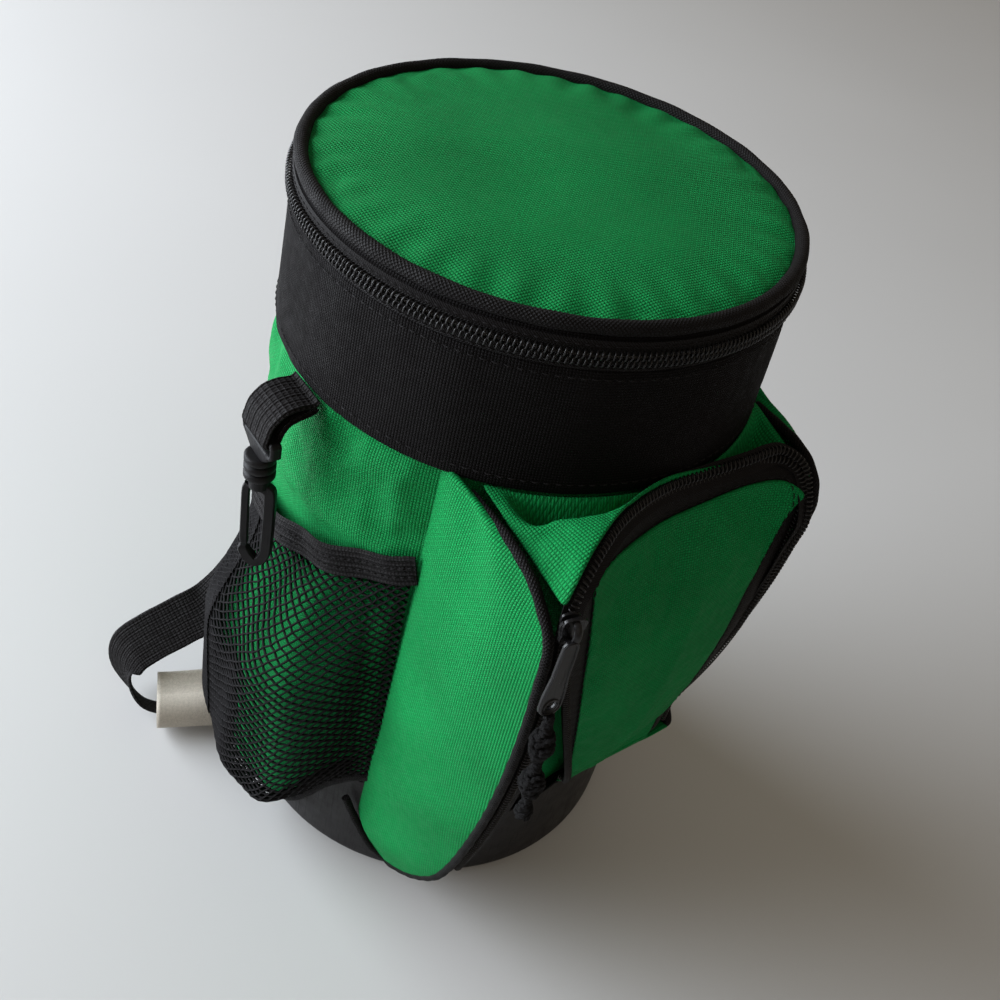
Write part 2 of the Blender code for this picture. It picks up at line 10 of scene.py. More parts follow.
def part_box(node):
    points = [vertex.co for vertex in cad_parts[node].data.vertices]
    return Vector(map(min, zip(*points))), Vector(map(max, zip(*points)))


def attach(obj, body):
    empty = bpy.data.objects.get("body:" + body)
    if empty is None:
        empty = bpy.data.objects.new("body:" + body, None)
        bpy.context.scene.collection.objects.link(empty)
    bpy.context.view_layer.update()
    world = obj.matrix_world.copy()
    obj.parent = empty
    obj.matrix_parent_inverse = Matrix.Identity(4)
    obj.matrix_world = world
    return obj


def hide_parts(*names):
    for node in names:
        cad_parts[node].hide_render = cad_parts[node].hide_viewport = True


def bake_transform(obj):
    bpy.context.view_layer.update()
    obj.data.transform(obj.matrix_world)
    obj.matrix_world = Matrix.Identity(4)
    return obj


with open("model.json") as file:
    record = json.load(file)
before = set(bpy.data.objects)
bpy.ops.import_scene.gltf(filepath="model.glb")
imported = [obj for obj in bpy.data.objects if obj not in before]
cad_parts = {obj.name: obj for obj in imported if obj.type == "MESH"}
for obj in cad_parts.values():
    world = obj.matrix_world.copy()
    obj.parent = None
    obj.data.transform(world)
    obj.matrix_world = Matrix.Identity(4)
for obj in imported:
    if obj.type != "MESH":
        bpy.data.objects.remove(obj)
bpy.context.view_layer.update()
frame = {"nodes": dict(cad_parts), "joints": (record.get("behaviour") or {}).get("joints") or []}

NODES = frame["nodes"]

# Driving dimensions, read from the frame
PIVOTS = {joint["name"]: Vector(joint["pos_m"]) for joint in frame["joints"]}
HOOK_X = (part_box("clip_frame")[0].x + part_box("clip_frame")[1].x) / 2
CLIP_Y = (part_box("clip_frame")[0].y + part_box("clip_frame")[1].y) / 2
COLLAR_LOW, COLLAR_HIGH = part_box("collar_band")
COLLAR_R = COLLAR_HIGH.x
ZIP_R = COLLAR_R - 0.0011
SHELL_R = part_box("body_shell")[1].x
BASE_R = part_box("base_cup")[1].x
BASE_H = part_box("base_cup")[1].z
ZIP_Z = (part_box("collar_zip_coil")[1].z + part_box("lid_zip_coil")[0].z) / 2
PIPING_LOW, PIPING_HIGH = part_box("lid_piping")
RIM_Z = (PIPING_LOW.z + PIPING_HIGH.z) / 2
PIPING_R = (PIPING_HIGH.z - PIPING_LOW.z) / 2
RIM_R = PIPING_HIGH.x - PIPING_R
POCKET_X = -(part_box("pocket_left_panel")[0].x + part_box("pocket_left_panel")[1].x) / 2

# Places and sizes of the soft parts, in metres and in degrees from the front
POCKET_TOP = 0.2215
FLAP_X = 0.0532
FLAP_Z = 0.070
FLAP_TOP = 0.2105
FLAP_INSET = (0.066, 0.060)
EDGE_R = 0.400
LEFT_EDGE = (0.1110, 0.165)
RIGHT_EDGE = (0.1060, 0.205)
WEB_DEG = 37.5
SLIDER_DEG = 135.0
MESH_DEG = (-52.0, -121.0)
MESH_TOP = 0.1760
STRIP_DEG = -103.0
NET_R = 0.0845
PULL_X = -0.0575
PULL_RISE = 0.0030
HOOK_TURN = math.radians(48)
HOOK_SQUARE = np.array([math.cos(HOOK_TURN), math.sin(HOOK_TURN), 0])
HOOK_HALF = 0.0040
HOOK_SECTION = np.array([
    (-0.0015, -0.0016), (0.0015, -0.0016), (0.0020, -0.0010), (0.0020, 0.0010), (0.0015, 0.0016),
    (-0.0015, 0.0016), (-0.0020, 0.0010), (-0.0020, -0.0010),
])
LABEL_DEG = -113.0
COIL_PITCH = 0.0017
THREAD_R = 0.00032
CLOTH = 0.0008
SETTLE_STEPS = 20
UPWARD = np.array([0, 0, 1.0])

# Camera and floor: turn in degrees, other angles in radians
CAMERA_PLACE = (-0.2243, -0.2491, 0.4473)
CAMERA_TURN = -42.0
CAMERA_PITCH, CAMERA_ROLL, CAMERA_YAW = 0.736, 0.254, 0.024
FLOOR_HALF = 6.0

BLACK = (0.0058, 0.0048, 0.0050)
GREEN = (0.0020, 0.220, 0.052)


# ---------------------------------------------------------------- materials

class Look:
    """One Principled material, put together from small node expressions."""

    def __init__(self, name, roughness, metallic=0.0):
        self.material = bpy.data.materials.new(name)
        self.material.use_nodes = True
        self.tree = self.material.node_tree
        self.shader = self.tree.nodes["Principled BSDF"]
        self.set(Roughness=roughness, Metallic=metallic)
        self.place = self.tree.nodes.new("ShaderNodeTexCoord")

    def feed(self, socket, value):
        if isinstance(value, bpy.types.NodeSocket):
            self.tree.links.new(value, socket)
        else:
            socket.default_value = value

    def math(self, operation, first, second=0.0):
        node = self.tree.nodes.new("ShaderNodeMath")
        node.operation = operation
        self.feed(node.inputs[0], first)
        self.feed(node.inputs[1], second)
        return node.outputs[0]

    def times(self, first, second):
        return self.math("MULTIPLY", first, second)

    def uv(self, turn=0.0):
        """The two cloth coordinates in metres, turned by an angle in degrees."""
        turned = self.tree.nodes.new("ShaderNodeMapping")
        turned.inputs["Rotation"].default_value[2] = math.radians(turn)
        self.tree.links.new(self.place.outputs["UV"], turned.inputs["Vector"])
        parts = self.tree.nodes.new("ShaderNodeSeparateXYZ")
        self.tree.links.new(turned.outputs[0], parts.inputs[0])
        return parts.outputs[0], parts.outputs[1]

    def noise(self, size, detail=2.0, stretch=(1, 1, 1)):
        scaled = self.tree.nodes.new("ShaderNodeMapping")
        scaled.inputs["Scale"].default_value = stretch
        self.tree.links.new(self.place.outputs["Object"], scaled.inputs["Vector"])
        node = self.tree.nodes.new("ShaderNodeTexNoise")
        node.inputs["Scale"].default_value = 1 / size
        node.inputs["Detail"].default_value = detail
        self.tree.links.new(scaled.outputs[0], node.inputs["Vector"])
        return node.outputs["Fac"]

    def wave(self, coordinate, pitch):
        """Half a sine for every pitch along a coordinate, with a sign that changes each pitch."""
        return self.math("SINE", self.times(coordinate, math.pi / pitch))

    def span(self, value, low, high, out_low, out_high):
        node = self.tree.nodes.new("ShaderNodeMapRange")
        for socket, number in zip(node.inputs, (value, low, high, out_low, out_high)):
            self.feed(socket, number)
        return node.outputs[0]

    def colour(self, base, shade):
        """Base colour multiplied by a shade value."""
        node = self.tree.nodes.new("ShaderNodeMix")
        node.data_type = "RGBA"
        node.blend_type = "MULTIPLY"
        node.inputs[0].default_value = 1.0
        node.inputs["A"].default_value = (*base, 1)
        grey = self.tree.nodes.new("ShaderNodeCombineColor")
        for socket in grey.inputs:
            self.feed(socket, shade)
        self.tree.links.new(grey.outputs[0], node.inputs["B"])
        self.tree.links.new(node.outputs["Result"], self.shader.inputs["Base Color"])

    def patchy(self, size, low, high, detail=2.0):
        """Soft cloudy noise of a size, between two values."""
        return self.span(self.noise(size, detail), 0.3, 0.7, low, high)

    def set(self, **values):
        """Sets shader inputs that a name with underscores stands for."""
        for name, value in values.items():
            self.feed(self.shader.inputs[name.replace("_", " ")], value)

    def bump(self, height, distance, strength=1.0):
        node = self.tree.nodes.new("ShaderNodeBump")
        node.inputs["Distance"].default_value = distance
        node.inputs["Strength"].default_value = strength
        self.feed(node.inputs["Height"], height)
        before = self.shader.inputs["Normal"]
        if before.is_linked:
            self.tree.links.new(before.links[0].from_socket, node.inputs["Normal"])
        self.tree.links.new(node.outputs[0], before)

    def sheen(self, weight, tint):
        self.set(Sheen_Weight=weight, Sheen_Roughness=0.45, Sheen_Tint=(*tint, 1))


def woven(name, base, pitch, depth, sheen, turn=0.0, ratio=1.0, patch=0.10, roughness=0.72, shine=0.12):
    """Plain weave: threads that pass over and under, uneven dye, fuzz, and painted shade in the hollows
    between threads with painted highlight on their crowns.
    """
    look = Look(name, roughness)
    u, v = look.uv(turn)
    cell = look.times(look.wave(u, pitch), look.wave(v, pitch * ratio))
    height = look.math("POWER", look.math("ABSOLUTE", cell), 0.7)
    # Painted shade and highlight: the colour is darker in the hollows between threads and lighter on their
    # crowns; warp cells are a little lighter than weft cells, partly the yarns' own tone and partly painted
    # shading.
    over = look.times(look.math("SIGN", cell), 0.07)
    thread = look.math("ADD", look.span(height, 0, 1, 0.62, 1.14), over)
    cloud = look.patchy(0.035, 1 - patch, 1 + patch, 3)
    fibre = look.patchy(0.0007, 0.88, 1.12, 1)
    look.colour(base, look.times(look.times(thread, cloud), fibre))
    look.set(Roughness=look.patchy(0.004, roughness - 0.08, roughness + 0.10))
    look.bump(look.noise(0.0006, 1), 0.0001, 0.5)
    look.bump(height, depth, 0.9)
    look.sheen(sheen, tuple(min(1.0, channel * 1.5 + 0.10) for channel in base))
    look.set(Specular_IOR_Level=shine)
    return look.material


def herringbone(name, base, pitch, width, depth):
    """Narrow tape woven in a zigzag twill."""
    look = Look(name, 0.62)
    u, v = look.uv()
    row = look.math("FRACT", look.math("DIVIDE", u, width))
    fold = look.math("ABSOLUTE", look.math("SUBTRACT", row, 0.5))
    lean = look.math("ADD", v, look.times(fold, width))
    rib = look.math("ABSOLUTE", look.wave(lean, pitch))
    cloud = look.patchy(0.02, 0.88, 1.14)
    # Painted shade: the colour is darker in the grooves between the twill's ribs and lighter on their tops.
    look.colour(base, look.times(look.span(rib, 0, 1, 0.6, 1.2), cloud))
    look.bump(rib, depth, 0.8)
    look.bump(look.noise(0.0005, 1), 0.00006, 0.4)
    look.sheen(0.03, (0.2, 0.2, 0.2))
    look.set(Specular_IOR_Level=0.12)
    return look.material


def moulded(name, base, roughness, grain, depth, coat=0.0, metallic=0.0, scratch=0.25, shine=0.22):
    """Moulded, coated or enamelled surface: fine grain, scuffed edges and faint scratches."""
    look = Look(name, roughness, metallic)
    edge = look.tree.nodes.new("ShaderNodeNewGeometry")
    worn = look.span(edge.outputs["Pointiness"], 0.52, 0.60, 0.0, 0.6)
    cloud = look.patchy(0.012, 0.85, 1.18, 3)
    look.colour(base, look.math("ADD", cloud, worn))
    lines = look.noise(0.0009, 2, (1, 1, 0.08))
    scuffed = look.times(look.span(lines, 0.55, 0.72, 0, 1), scratch)
    mottled = look.patchy(0.006, roughness - 0.06, roughness + 0.08)
    look.set(Roughness=look.math("ADD", mottled, scuffed))
    look.bump(look.noise(grain, 2), depth, 0.6)
    look.set(Specular_IOR_Level=shine, Coat_Weight=coat, Coat_Roughness=0.25)
    return look.material


def foil(name, base):
    """Silver film liner with soft crinkles over its backing."""
    look = Look(name, 0.32, 0.85)
    crinkle = look.noise(0.007, 4)
    look.colour(base, look.patchy(0.02, 0.86, 1.06, 3))
    look.set(Roughness=look.patchy(0.003, 0.24, 0.42))
    look.bump(crinkle, 0.0011, 0.8)
    look.bump(look.noise(0.0015, 2), 0.0002, 0.5)
    return look.material


def cellular(name, base):
    """Closed-cell foam with a pitted surface."""
    look = Look(name, 0.9)
    cell = look.tree.nodes.new("ShaderNodeTexVoronoi")
    cell.inputs["Scale"].default_value = 1100
    look.tree.links.new(look.place.outputs["Object"], cell.inputs["Vector"])
    look.colour(base, look.span(cell.outputs["Distance"], 0, 0.8, 1.05, 0.72))
    look.bump(cell.outputs["Distance"], 0.0003, 0.7)
    return look.material


def black(share):
    """The black cloth's colour, lightened for a smoother or worn surface."""
    return tuple(channel * share for channel in BLACK)


def make_looks():
    return {
        "green": woven("green_weave", GREEN, 0.00095, 0.00032, 0.04),
        "black": woven("black_weave", BLACK, 0.00095, 0.00036, 0.02, roughness=0.70, shine=0.06),
        "bound": woven("black_binding", black(1.15), 0.0009, 0.00035, 0.03, turn=45, roughness=0.66),
        "webbing": woven("black_webbing", black(1.25), 0.0012, 0.0004, 0.05, ratio=1.5),
        "elastic": woven("black_elastic", black(1.2), 0.0008, 0.0002, 0.05, ratio=1.6),
        "tape": herringbone("zip_tape", BLACK, 0.0009, 0.0050, 0.0002),
        "coil": moulded("coil_nylon", (0.012, 0.011, 0.0115), 0.30, 0.0008, 0.00002, coat=0.2),
        "enamel": moulded("slider_black", (0.007, 0.0066, 0.007), 0.30, 0.002, 0.00003, coat=0.15),
        "plastic": moulded("hook_plastic", (0.0065, 0.006, 0.0065), 0.44, 0.0012, 0.00004, shine=0.14),
        "vinyl": moulded("base_vinyl", (0.013, 0.012, 0.0125), 0.50, 0.0011, 0.00014, scratch=0.15),
        "mesh": moulded("mesh_thread", (0.0055, 0.0050, 0.0053), 0.72, 0.0006, 0.00003,
                        scratch=0.1, shine=0.07),
        "cord": woven("cord_strands", (0.011, 0.010, 0.0105), 0.0007, 0.0003, 0.05, turn=35),
        "thread": woven("black_thread", (0.014, 0.0125, 0.013), 0.0004, 0.0001, 0.05, turn=30),
        "label": woven("label_satin", (0.52, 0.47, 0.40), 0.0004, 0.00008, 0.5, patch=0.05, roughness=0.45),
        "silver": foil("liner_silver", (0.72, 0.73, 0.74)),
        "foam": cellular("foam_white", (0.74, 0.74, 0.72)),
        "board": moulded("board_grey", (0.30, 0.30, 0.31), 0.6, 0.002, 0.0001),
    }


LOOKS = make_looks()


# ---------------------------------------------------------------- shapes

def unit(vectors):
    return vectors / np.maximum(np.linalg.norm(vectors, axis=-1, keepdims=True), 1e-12)


def ease(value, low, high):
    """Smooth step from 0 below low to 1 above high."""
    share = np.clip((value - low) / (high - low), 0, 1)
    return share * share * (3 - 2 * share)


def polar(degrees, radius, height):
    """Points by angle from the front towards the right, distance from the axis and height."""
    angle = np.radians(degrees)
    parts = np.broadcast_arrays(radius * np.sin(angle), -radius * np.cos(angle), height)
    return np.stack(parts, -1)


def smooth_path(corners, between):
    """Points on a smooth curve through corners, with some added between each two."""
    ends = np.array([corners[0], *corners, corners[-1]], float)
    a, b, c, d = (ends[k:len(ends) - 3 + k, None] for k in range(4))
    t = (np.arange(between) / between)[None, :, None]
    curve = 2 * b + (c - a) * t + (2 * a - 5 * b + 4 * c - d) * t ** 2 + (3 * b - a - 3 * c + d) * t ** 3
    return np.concatenate([curve.reshape(-1, ends.shape[1]) / 2, ends[-1:]])


def lengths(path):
    """Distance from the path's start to each of its points."""
    return np.concatenate([[0], np.cumsum(np.linalg.norm(np.diff(path, axis=0), axis=1))])


def sample(values, walked, stations):
    """Rows of values at given distances along a path."""
    return np.stack([np.interp(stations, walked, column) for column in values.T], 1)


def resample(path, spacing, closed=False):
    """Even points along a path, about spacing apart."""
    path = np.asarray(path, float)
    if closed:
        path = np.concatenate([path, path[:1]])
    walked = lengths(path)
    count = max(3, round(walked[-1] / spacing) + 1)
    stations = np.linspace(0, walked[-1], count)
    if closed:
        stations = stations[:-1]
    return sample(path, walked, stations)


def tangents(path, closed=False):
    if closed:
        return unit(np.roll(path, -1, 0) - np.roll(path, 1, 0))
    return unit(np.gradient(path, axis=0))


def finish(piece, look, body, replaced=()):
    """Gives a piece its material and body, and hides the CAD nodes that it stands for."""
    piece.data.materials.clear()
    piece.data.materials.append(LOOKS[look])
    if body:
        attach(piece, body)
    if replaced:
        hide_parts(*replaced)
    return piece


def mesh_piece(name, points, faces, uvs=None):
    """A mesh object from points, faces and one UV for each face corner."""
    mesh = bpy.data.meshes.new(name)
    points = np.asarray(points, float).reshape(-1, 3).tolist()
    mesh.from_pydata(points, [], [list(map(int, face)) for face in faces])
    if uvs is not None:
        layer = mesh.uv_layers.new(name="cloth")
        layer.data.foreach_set("uv", np.asarray(uvs, np.float32).ravel())
    mesh.shade_smooth()
    piece = bpy.data.objects.new(name, mesh)
    bpy.context.scene.collection.objects.link(piece)
    return piece


def grid_corners(rows, columns):
    """Row and column of the four corners of every cell in a grid."""
    i, j = (part.ravel() for part in np.meshgrid(np.arange(rows), np.arange(columns), indexing="ij"))
    return [(i, j), (i, j + 1), (i + 1, j + 1), (i + 1, j)]


def grid_piece(name, points, closed=False, uv=None, flip=False, sharp=None):
    """A sheet through rows of points. Its UVs are lengths in metres along rows and columns, or are given."""
    points = np.asarray(points, float)
    rows, cols = points.shape[:2]
    corners = grid_corners(rows - 1, cols if closed else cols - 1)
    if flip:
        corners = corners[::-1]
    faces = np.stack([row * cols + col % cols for row, col in corners], 1)
    if uv is None:
        around = np.concatenate([points, points[:, :1]], 1) if closed else points
        u = np.cumsum(np.linalg.norm(np.diff(around, axis=1), axis=2).mean(0))
        v = np.cumsum(np.linalg.norm(np.diff(points, axis=0), axis=2).mean(1))
        uv = np.stack(np.meshgrid(np.concatenate([[0], u]), np.concatenate([[0], v])), -1)
    uvs = np.stack([uv[row, col] for row, col in corners], 1)
    piece = mesh_piece(name, points, faces, uvs)
    if sharp:
        piece.data.set_sharp_from_angle(angle=math.radians(sharp))
    return piece


def ruled(first, last, rows):
    """Rows of points on straight lines from one edge to another."""
    share = np.linspace(0, 1, rows)[:, None, None]
    return first[None] * (1 - share) + last[None] * share


def thicken(piece, thickness, offset=-1.0, levels=0):
    """Cloth thickness, and a subdivision before it."""
    if levels:
        smooth = piece.modifiers.new("smooth", "SUBSURF")
        smooth.levels = levels
        smooth.render_levels = levels
    solid = piece.modifiers.new("thickness", "SOLIDIFY")
    solid.thickness = thickness
    solid.offset = offset
    return piece


def sweep_mesh(path, across, up, section, closed=False, swell=None, capped=True):
    """Points, faces and UVs of a section of (across, up) points carried along a path."""
    section = np.asarray(section, float)
    count, sides = len(path), len(section)
    scale = np.ones(count) if swell is None else np.asarray(swell, float)
    ring = across[:, None] * section[None, :, :1] + up[:, None] * section[None, :, 1:]
    points = path[:, None] + ring * scale[:, None, None]
    corners = grid_corners(count if closed else count - 1, sides)
    faces = [list(face) for face in np.stack([(r % count) * sides + c % sides for r, c in corners], 1)]
    loop = np.concatenate([path, path[:1]]) if closed else path
    along = lengths(loop)
    around = lengths(np.concatenate([section, section[:1]]))
    uvs = [np.stack([around[c], along[r]], -1) for r, c in corners]
    uvs = list(np.stack(uvs, 1).reshape(-1, 2))
    if capped and not closed:
        for ring_start, order in ((0, range(sides - 1, -1, -1)), ((count - 1) * sides, range(sides))):
            faces.append([ring_start + side for side in order])
            uvs.extend(section[side] for side in order)
    return points.reshape(-1, 3), faces, np.array(uvs)


def join(parts):
    """One set of points, faces and UVs from several."""
    points, faces, uvs, start = [], [], [], 0
    for part_points, part_faces, part_uvs in parts:
        points.append(part_points)
        faces.extend([start + index for index in face] for face in part_faces)
        uvs.append(part_uvs)
        start += len(part_points)
    return np.concatenate(points), faces, np.concatenate(uvs)


def circle(radius, sides, height=None):
    turn = np.arange(sides) * math.tau / sides
    return np.stack([radius * np.cos(turn), (height or radius) * np.sin(turn)], 1)


def sides_of(path, reference, closed=False):
    """Across and up directions along a path, with up as near to the reference as it can be."""
    along = tangents(path, closed)
    reference = np.broadcast_to(reference, path.shape)
    up = unit(reference - along * (along * reference).sum(1, keepdims=True))
    return np.cross(along, up), up


def rod(path, radius, reference, sides=10, closed=False, swell=None, flat=None):
    """A round or flattened rod along a path."""
    across, up = sides_of(path, reference, closed)
    return sweep_mesh(path, across, up, circle(radius, sides, flat), closed, swell)


def ribbon_section(width, thickness, ribs=0, depth=0.0):
    """Section of a webbing: flat, with rounded sides and lengthwise ribs on both faces."""
    count = max(4, ribs * 4)
    x = np.linspace(-width / 2, width / 2, count + 1)
    inset = np.minimum(1, (width / 2 - np.abs(x)) / (thickness * 0.8) + 0.25)
    wave = depth * (0.5 - 0.5 * np.cos(math.tau * ribs * (x / width + 0.5))) if ribs else 0 * x
    y = thickness / 2 * np.sqrt(inset) + wave - depth / 2
    return np.concatenate([np.stack([x, -y], 1), np.stack([x, y], 1)[::-1]])


def coil(path, normal, phase=0.0, half=0.0015, height=0.0009, pitch=COIL_PITCH):
    """Nylon thread wound along one edge of a zipper. Half is its half width across the row."""
    walked = lengths(path)
    steps = 12
    stations = np.linspace(0, walked[-1], int(walked[-1] / pitch) * steps + 1)
    centre = sample(path, walked, stations)
    across, up = sides_of(centre, sample(normal, walked, stations))
    turn = stations / pitch * math.tau + phase
    side, rise = np.cos(turn), np.sin(turn)
    offset = across * (half * np.sign(side) * np.abs(side) ** 0.75)[:, None] + up * (height * rise)[:, None]
    return rod(centre + offset, THREAD_R, offset / half, sides=5)


def stitches(path, normal, length=0.0024, gap=0.0011, radius=0.00022):
    """A row of separate stitches lying on a seam."""
    walked = lengths(path)
    parts = []
    start = gap
    while start + length < walked[-1]:
        stations = start + length * np.array([0, 0.2, 0.5, 0.8, 1])
        facing = sample(normal, walked, stations)
        rise = radius * np.array([-0.7, 0.5, 0.8, 0.5, -0.7])
        line = sample(path, walked, stations) + facing * rise[:, None]
        parts.append(rod(line, radius, facing, sides=5, swell=[0.5, 0.9, 1, 0.9, 0.5]))
        start += length + gap
    return join(parts)


def outward(path):
    """Direction away from the bag's axis, level."""
    return unit(path * np.array([1, 1, 0]))


def built(name, parts, look, body, replaced=(), smooth_angle=40):
    """A piece from one or more joined sets of points, faces and UVs."""
    piece = mesh_piece(name, *join(parts))
    piece.data.set_sharp_from_angle(angle=math.radians(smooth_angle))
    return finish(piece, look, body, replaced)


# ---------------------------------------------------------------- cloth simulation

def settle(piece, pinned, slack, pressure, cap, least_r=None):
    """Runs cloth on a sheet held at its pinned points. Slack fabric buckles, pressure fills it, and no
    point moves further than the cap or nearer to the bag's axis than least_r."""
    scene = bpy.context.scene
    group = piece.vertex_groups.new(name="held")
    group.add([int(index) for index in pinned], 1.0, "REPLACE")
    cloth = piece.modifiers.new("cloth", "CLOTH")
    settings = cloth.settings
    settings.vertex_group_mass = "held"
    settings.quality = 6
    settings.mass = 0.15
    settings.tension_stiffness = settings.compression_stiffness = 12
    settings.shear_stiffness = 4
    settings.bending_stiffness = 0.4
    settings.air_damping = 4
    settings.shrink_min = -slack
    settings.effector_weights.gravity = 0
    settings.use_pressure = True
    settings.uniform_pressure_force = pressure
    cloth.collision_settings.use_collision = False
    cloth.point_cache.frame_start = 1
    cloth.point_cache.frame_end = SETTLE_STEPS
    before = np.array([vertex.co for vertex in piece.data.vertices])
    for step in range(1, SETTLE_STEPS + 1):
        scene.frame_set(step)
    shaped = piece.evaluated_get(bpy.context.evaluated_depsgraph_get())
    after = np.array([vertex.co for vertex in shaped.data.vertices])
    piece.modifiers.remove(cloth)
    piece.vertex_groups.remove(group)
    scene.frame_set(1)
    move = after - before
    reach = np.linalg.norm(move, axis=1, keepdims=True)
    move *= np.tanh(reach / cap) * cap / np.maximum(reach, 1e-9)
    after = before + move
    if least_r:
        radius = np.linalg.norm(after[:, :2], axis=1, keepdims=True)
        after[:, :2] *= np.maximum(radius, least_r) / radius
    piece.data.vertices.foreach_set("co", after.ravel())
    piece.data.update()


def rim_of(rows, cols, edge=1, closed=False):
    """Indices of a grid's outer rows and columns."""
    index = np.arange(rows * cols).reshape(rows, cols)
    held = [index[:edge].ravel(), index[-edge:].ravel()]
    if not closed:
        held += [index[:, :edge].ravel(), index[:, -edge:].ravel()]
    return np.unique(np.concatenate(held))


# ---------------------------------------------------------------- body of the bag

def ring_path(radius, height, start=0.0, end=360.0, step=1.5):
    """Level arc round the bag's axis."""
    count = round((end - start) / step) + 1
    path = polar(np.linspace(start, end, count), radius, height)
    return path[:-1] if end - start >= 360 else path


def turned_piece(name, outline, look, body, replaced=(), columns=180, flip=False):
    """A closed ring or cup from an outline of (radius, height) points."""
    outline = np.array(outline, float)
    degrees = np.arange(columns) * 360 / columns
    points = np.stack([polar(degrees, radius, height) for radius, height in outline])
    piece = grid_piece(name, points, closed=True, flip=flip, sharp=50)
    return finish(piece, look, body, replaced)


def rounded(corners, radius, steps=5):
    """An outline whose corners are rounded off."""
    corners = [Vector(corner) for corner in corners]
    outline = [corners[0]]
    for before, corner, after in zip(corners, corners[1:], corners[2:]):
        cut = min(radius, (before - corner).length * 0.45, (after - corner).length * 0.45)
        first = corner + (before - corner).normalized() * cut
        last = corner + (after - corner).normalized() * cut
        for step in range(steps + 1):
            t = step / steps
            outline.append(first.lerp(corner, t).lerp(corner.lerp(last, t), t))
    outline.append(corners[-1])
    return [tuple(point) for point in outline]


def base():
    """Vinyl cup with a rounded foot, its bound hem, and the board and foam inside it."""
    foot = 0.0045
    inside = BASE_R - 0.0010
    floor = 0.0012
    axis = 0.00001
    outline = [(0.0, 0.0), (BASE_R * 0.55, 0.0), (BASE_R, 0.0), (BASE_R, 0.020), (BASE_R, 0.040)]
    outline = rounded(outline + [(BASE_R, BASE_H)], foot, 6)
    outline = [(axis, 0.0), *outline[1:], (inside, BASE_H), (inside, floor), (axis, floor)]
    outline = subdivided(outline, 0.004)
    degrees = np.arange(180) * 2.0
    rows = []
    for radius, height in outline:
        low = min(1.0, max(0.0, height / BASE_H))
        dent = 0.0007 * low * (np.sin(np.radians(degrees * 3 + 40)) + 0.6 * np.sin(np.radians(degrees * 7)))
        rows.append(polar(degrees, radius - np.maximum(0, dent) * (radius > BASE_R * 0.9), height))
    cup = grid_piece("base_cup_cloth", np.stack(rows), closed=True, sharp=50)
    finish(cup, "vinyl", "root", ["base_cup"])
    hem = ring_path(BASE_R + 0.0001, BASE_H - 0.0016)
    across = np.broadcast_to(UPWARD, hem.shape)
    band = sweep_mesh(hem, across, outward(hem), ribbon_section(0.0044, 0.0010), closed=True)
    built("base_hem", [band], "bound", "root")
    seam = ring_path(BASE_R + 0.0006, BASE_H - 0.0030)
    built("base_stitching", [stitches(seam, outward(seam))], "thread", "root")
    inner = {"base_board": "board", "base_foam": "foam", "wall_foam": "foam", "lid_foam": "foam"}
    for node, look in inner.items():
        NODES[node].data.materials.clear()
        NODES[node].data.materials.append(LOOKS[look])


def subdivided(outline, spacing):
    """An outline with points added so that none are further apart than the spacing."""
    full = []
    for first, second in zip(outline, outline[1:]):
        count = max(1, math.ceil(math.dist(first, second) / spacing))
        for step in range(count):
            t = step / count
            full.append((first[0] + (second[0] - first[0]) * t, first[1] + (second[1] - first[1]) * t))
    return full + [outline[-1]]


def body_cloth():
    """Green body fabric, gathered under the collar and into the base."""
    columns, rows = 200, 52
    degrees = np.arange(columns) * 360 / columns - 180
    heights = np.linspace(BASE_H - 0.010, COLLAR_LOW.z + 0.0028, rows)
    angle, height = np.meshgrid(degrees, heights)
    share = (height - heights[0]) / (heights[-1] - heights[0])
    beside_pocket = ease(np.abs(angle), 47, 60)
    behind_mesh = ease(angle, -125, -119) * (1 - ease(angle, -56, -50)) * (1 - ease(height, 0.165, 0.19))
    strap_room = 1 - 0.5 * ease(np.abs(angle), 150, 178)
    free = beside_pocket * (1 - behind_mesh) * strap_room
    full = np.sin(math.pi * share) ** 0.6
    gather = 0.45 * np.sin(np.radians(angle * 19 + 25 * np.sin(np.radians(angle * 3))) + 3 * share)
    gather += 0.35 * np.sin(np.radians(angle * 31 + 50)) + 0.3 * np.sin(np.radians(angle * 11) + 5 * share)
    near_seams = np.exp(-((1 - share) / 0.22) ** 2) + 0.5 * np.exp(-(share / 0.2) ** 2)
    radius = SHELL_R + free * (0.0022 * full + 0.0012 * gather * near_seams * np.clip(share * 12, 0, 1))
    radius -= 0.0006 * ease(share, 0.93, 0.99)
    piece = grid_piece("body_shell_cloth", polar(angle, radius, height), closed=True)
    covered = np.flatnonzero((free < 0.35).ravel())
    held = np.unique(np.concatenate([rim_of(rows, columns, 2, closed=True), covered]))
    settle(piece, held, 0.035, 1.2, 0.0030, least_r=SHELL_R - 0.0006)
    finish(thicken(piece, CLOTH, -1, 1), "green", "root", ["body_shell"])


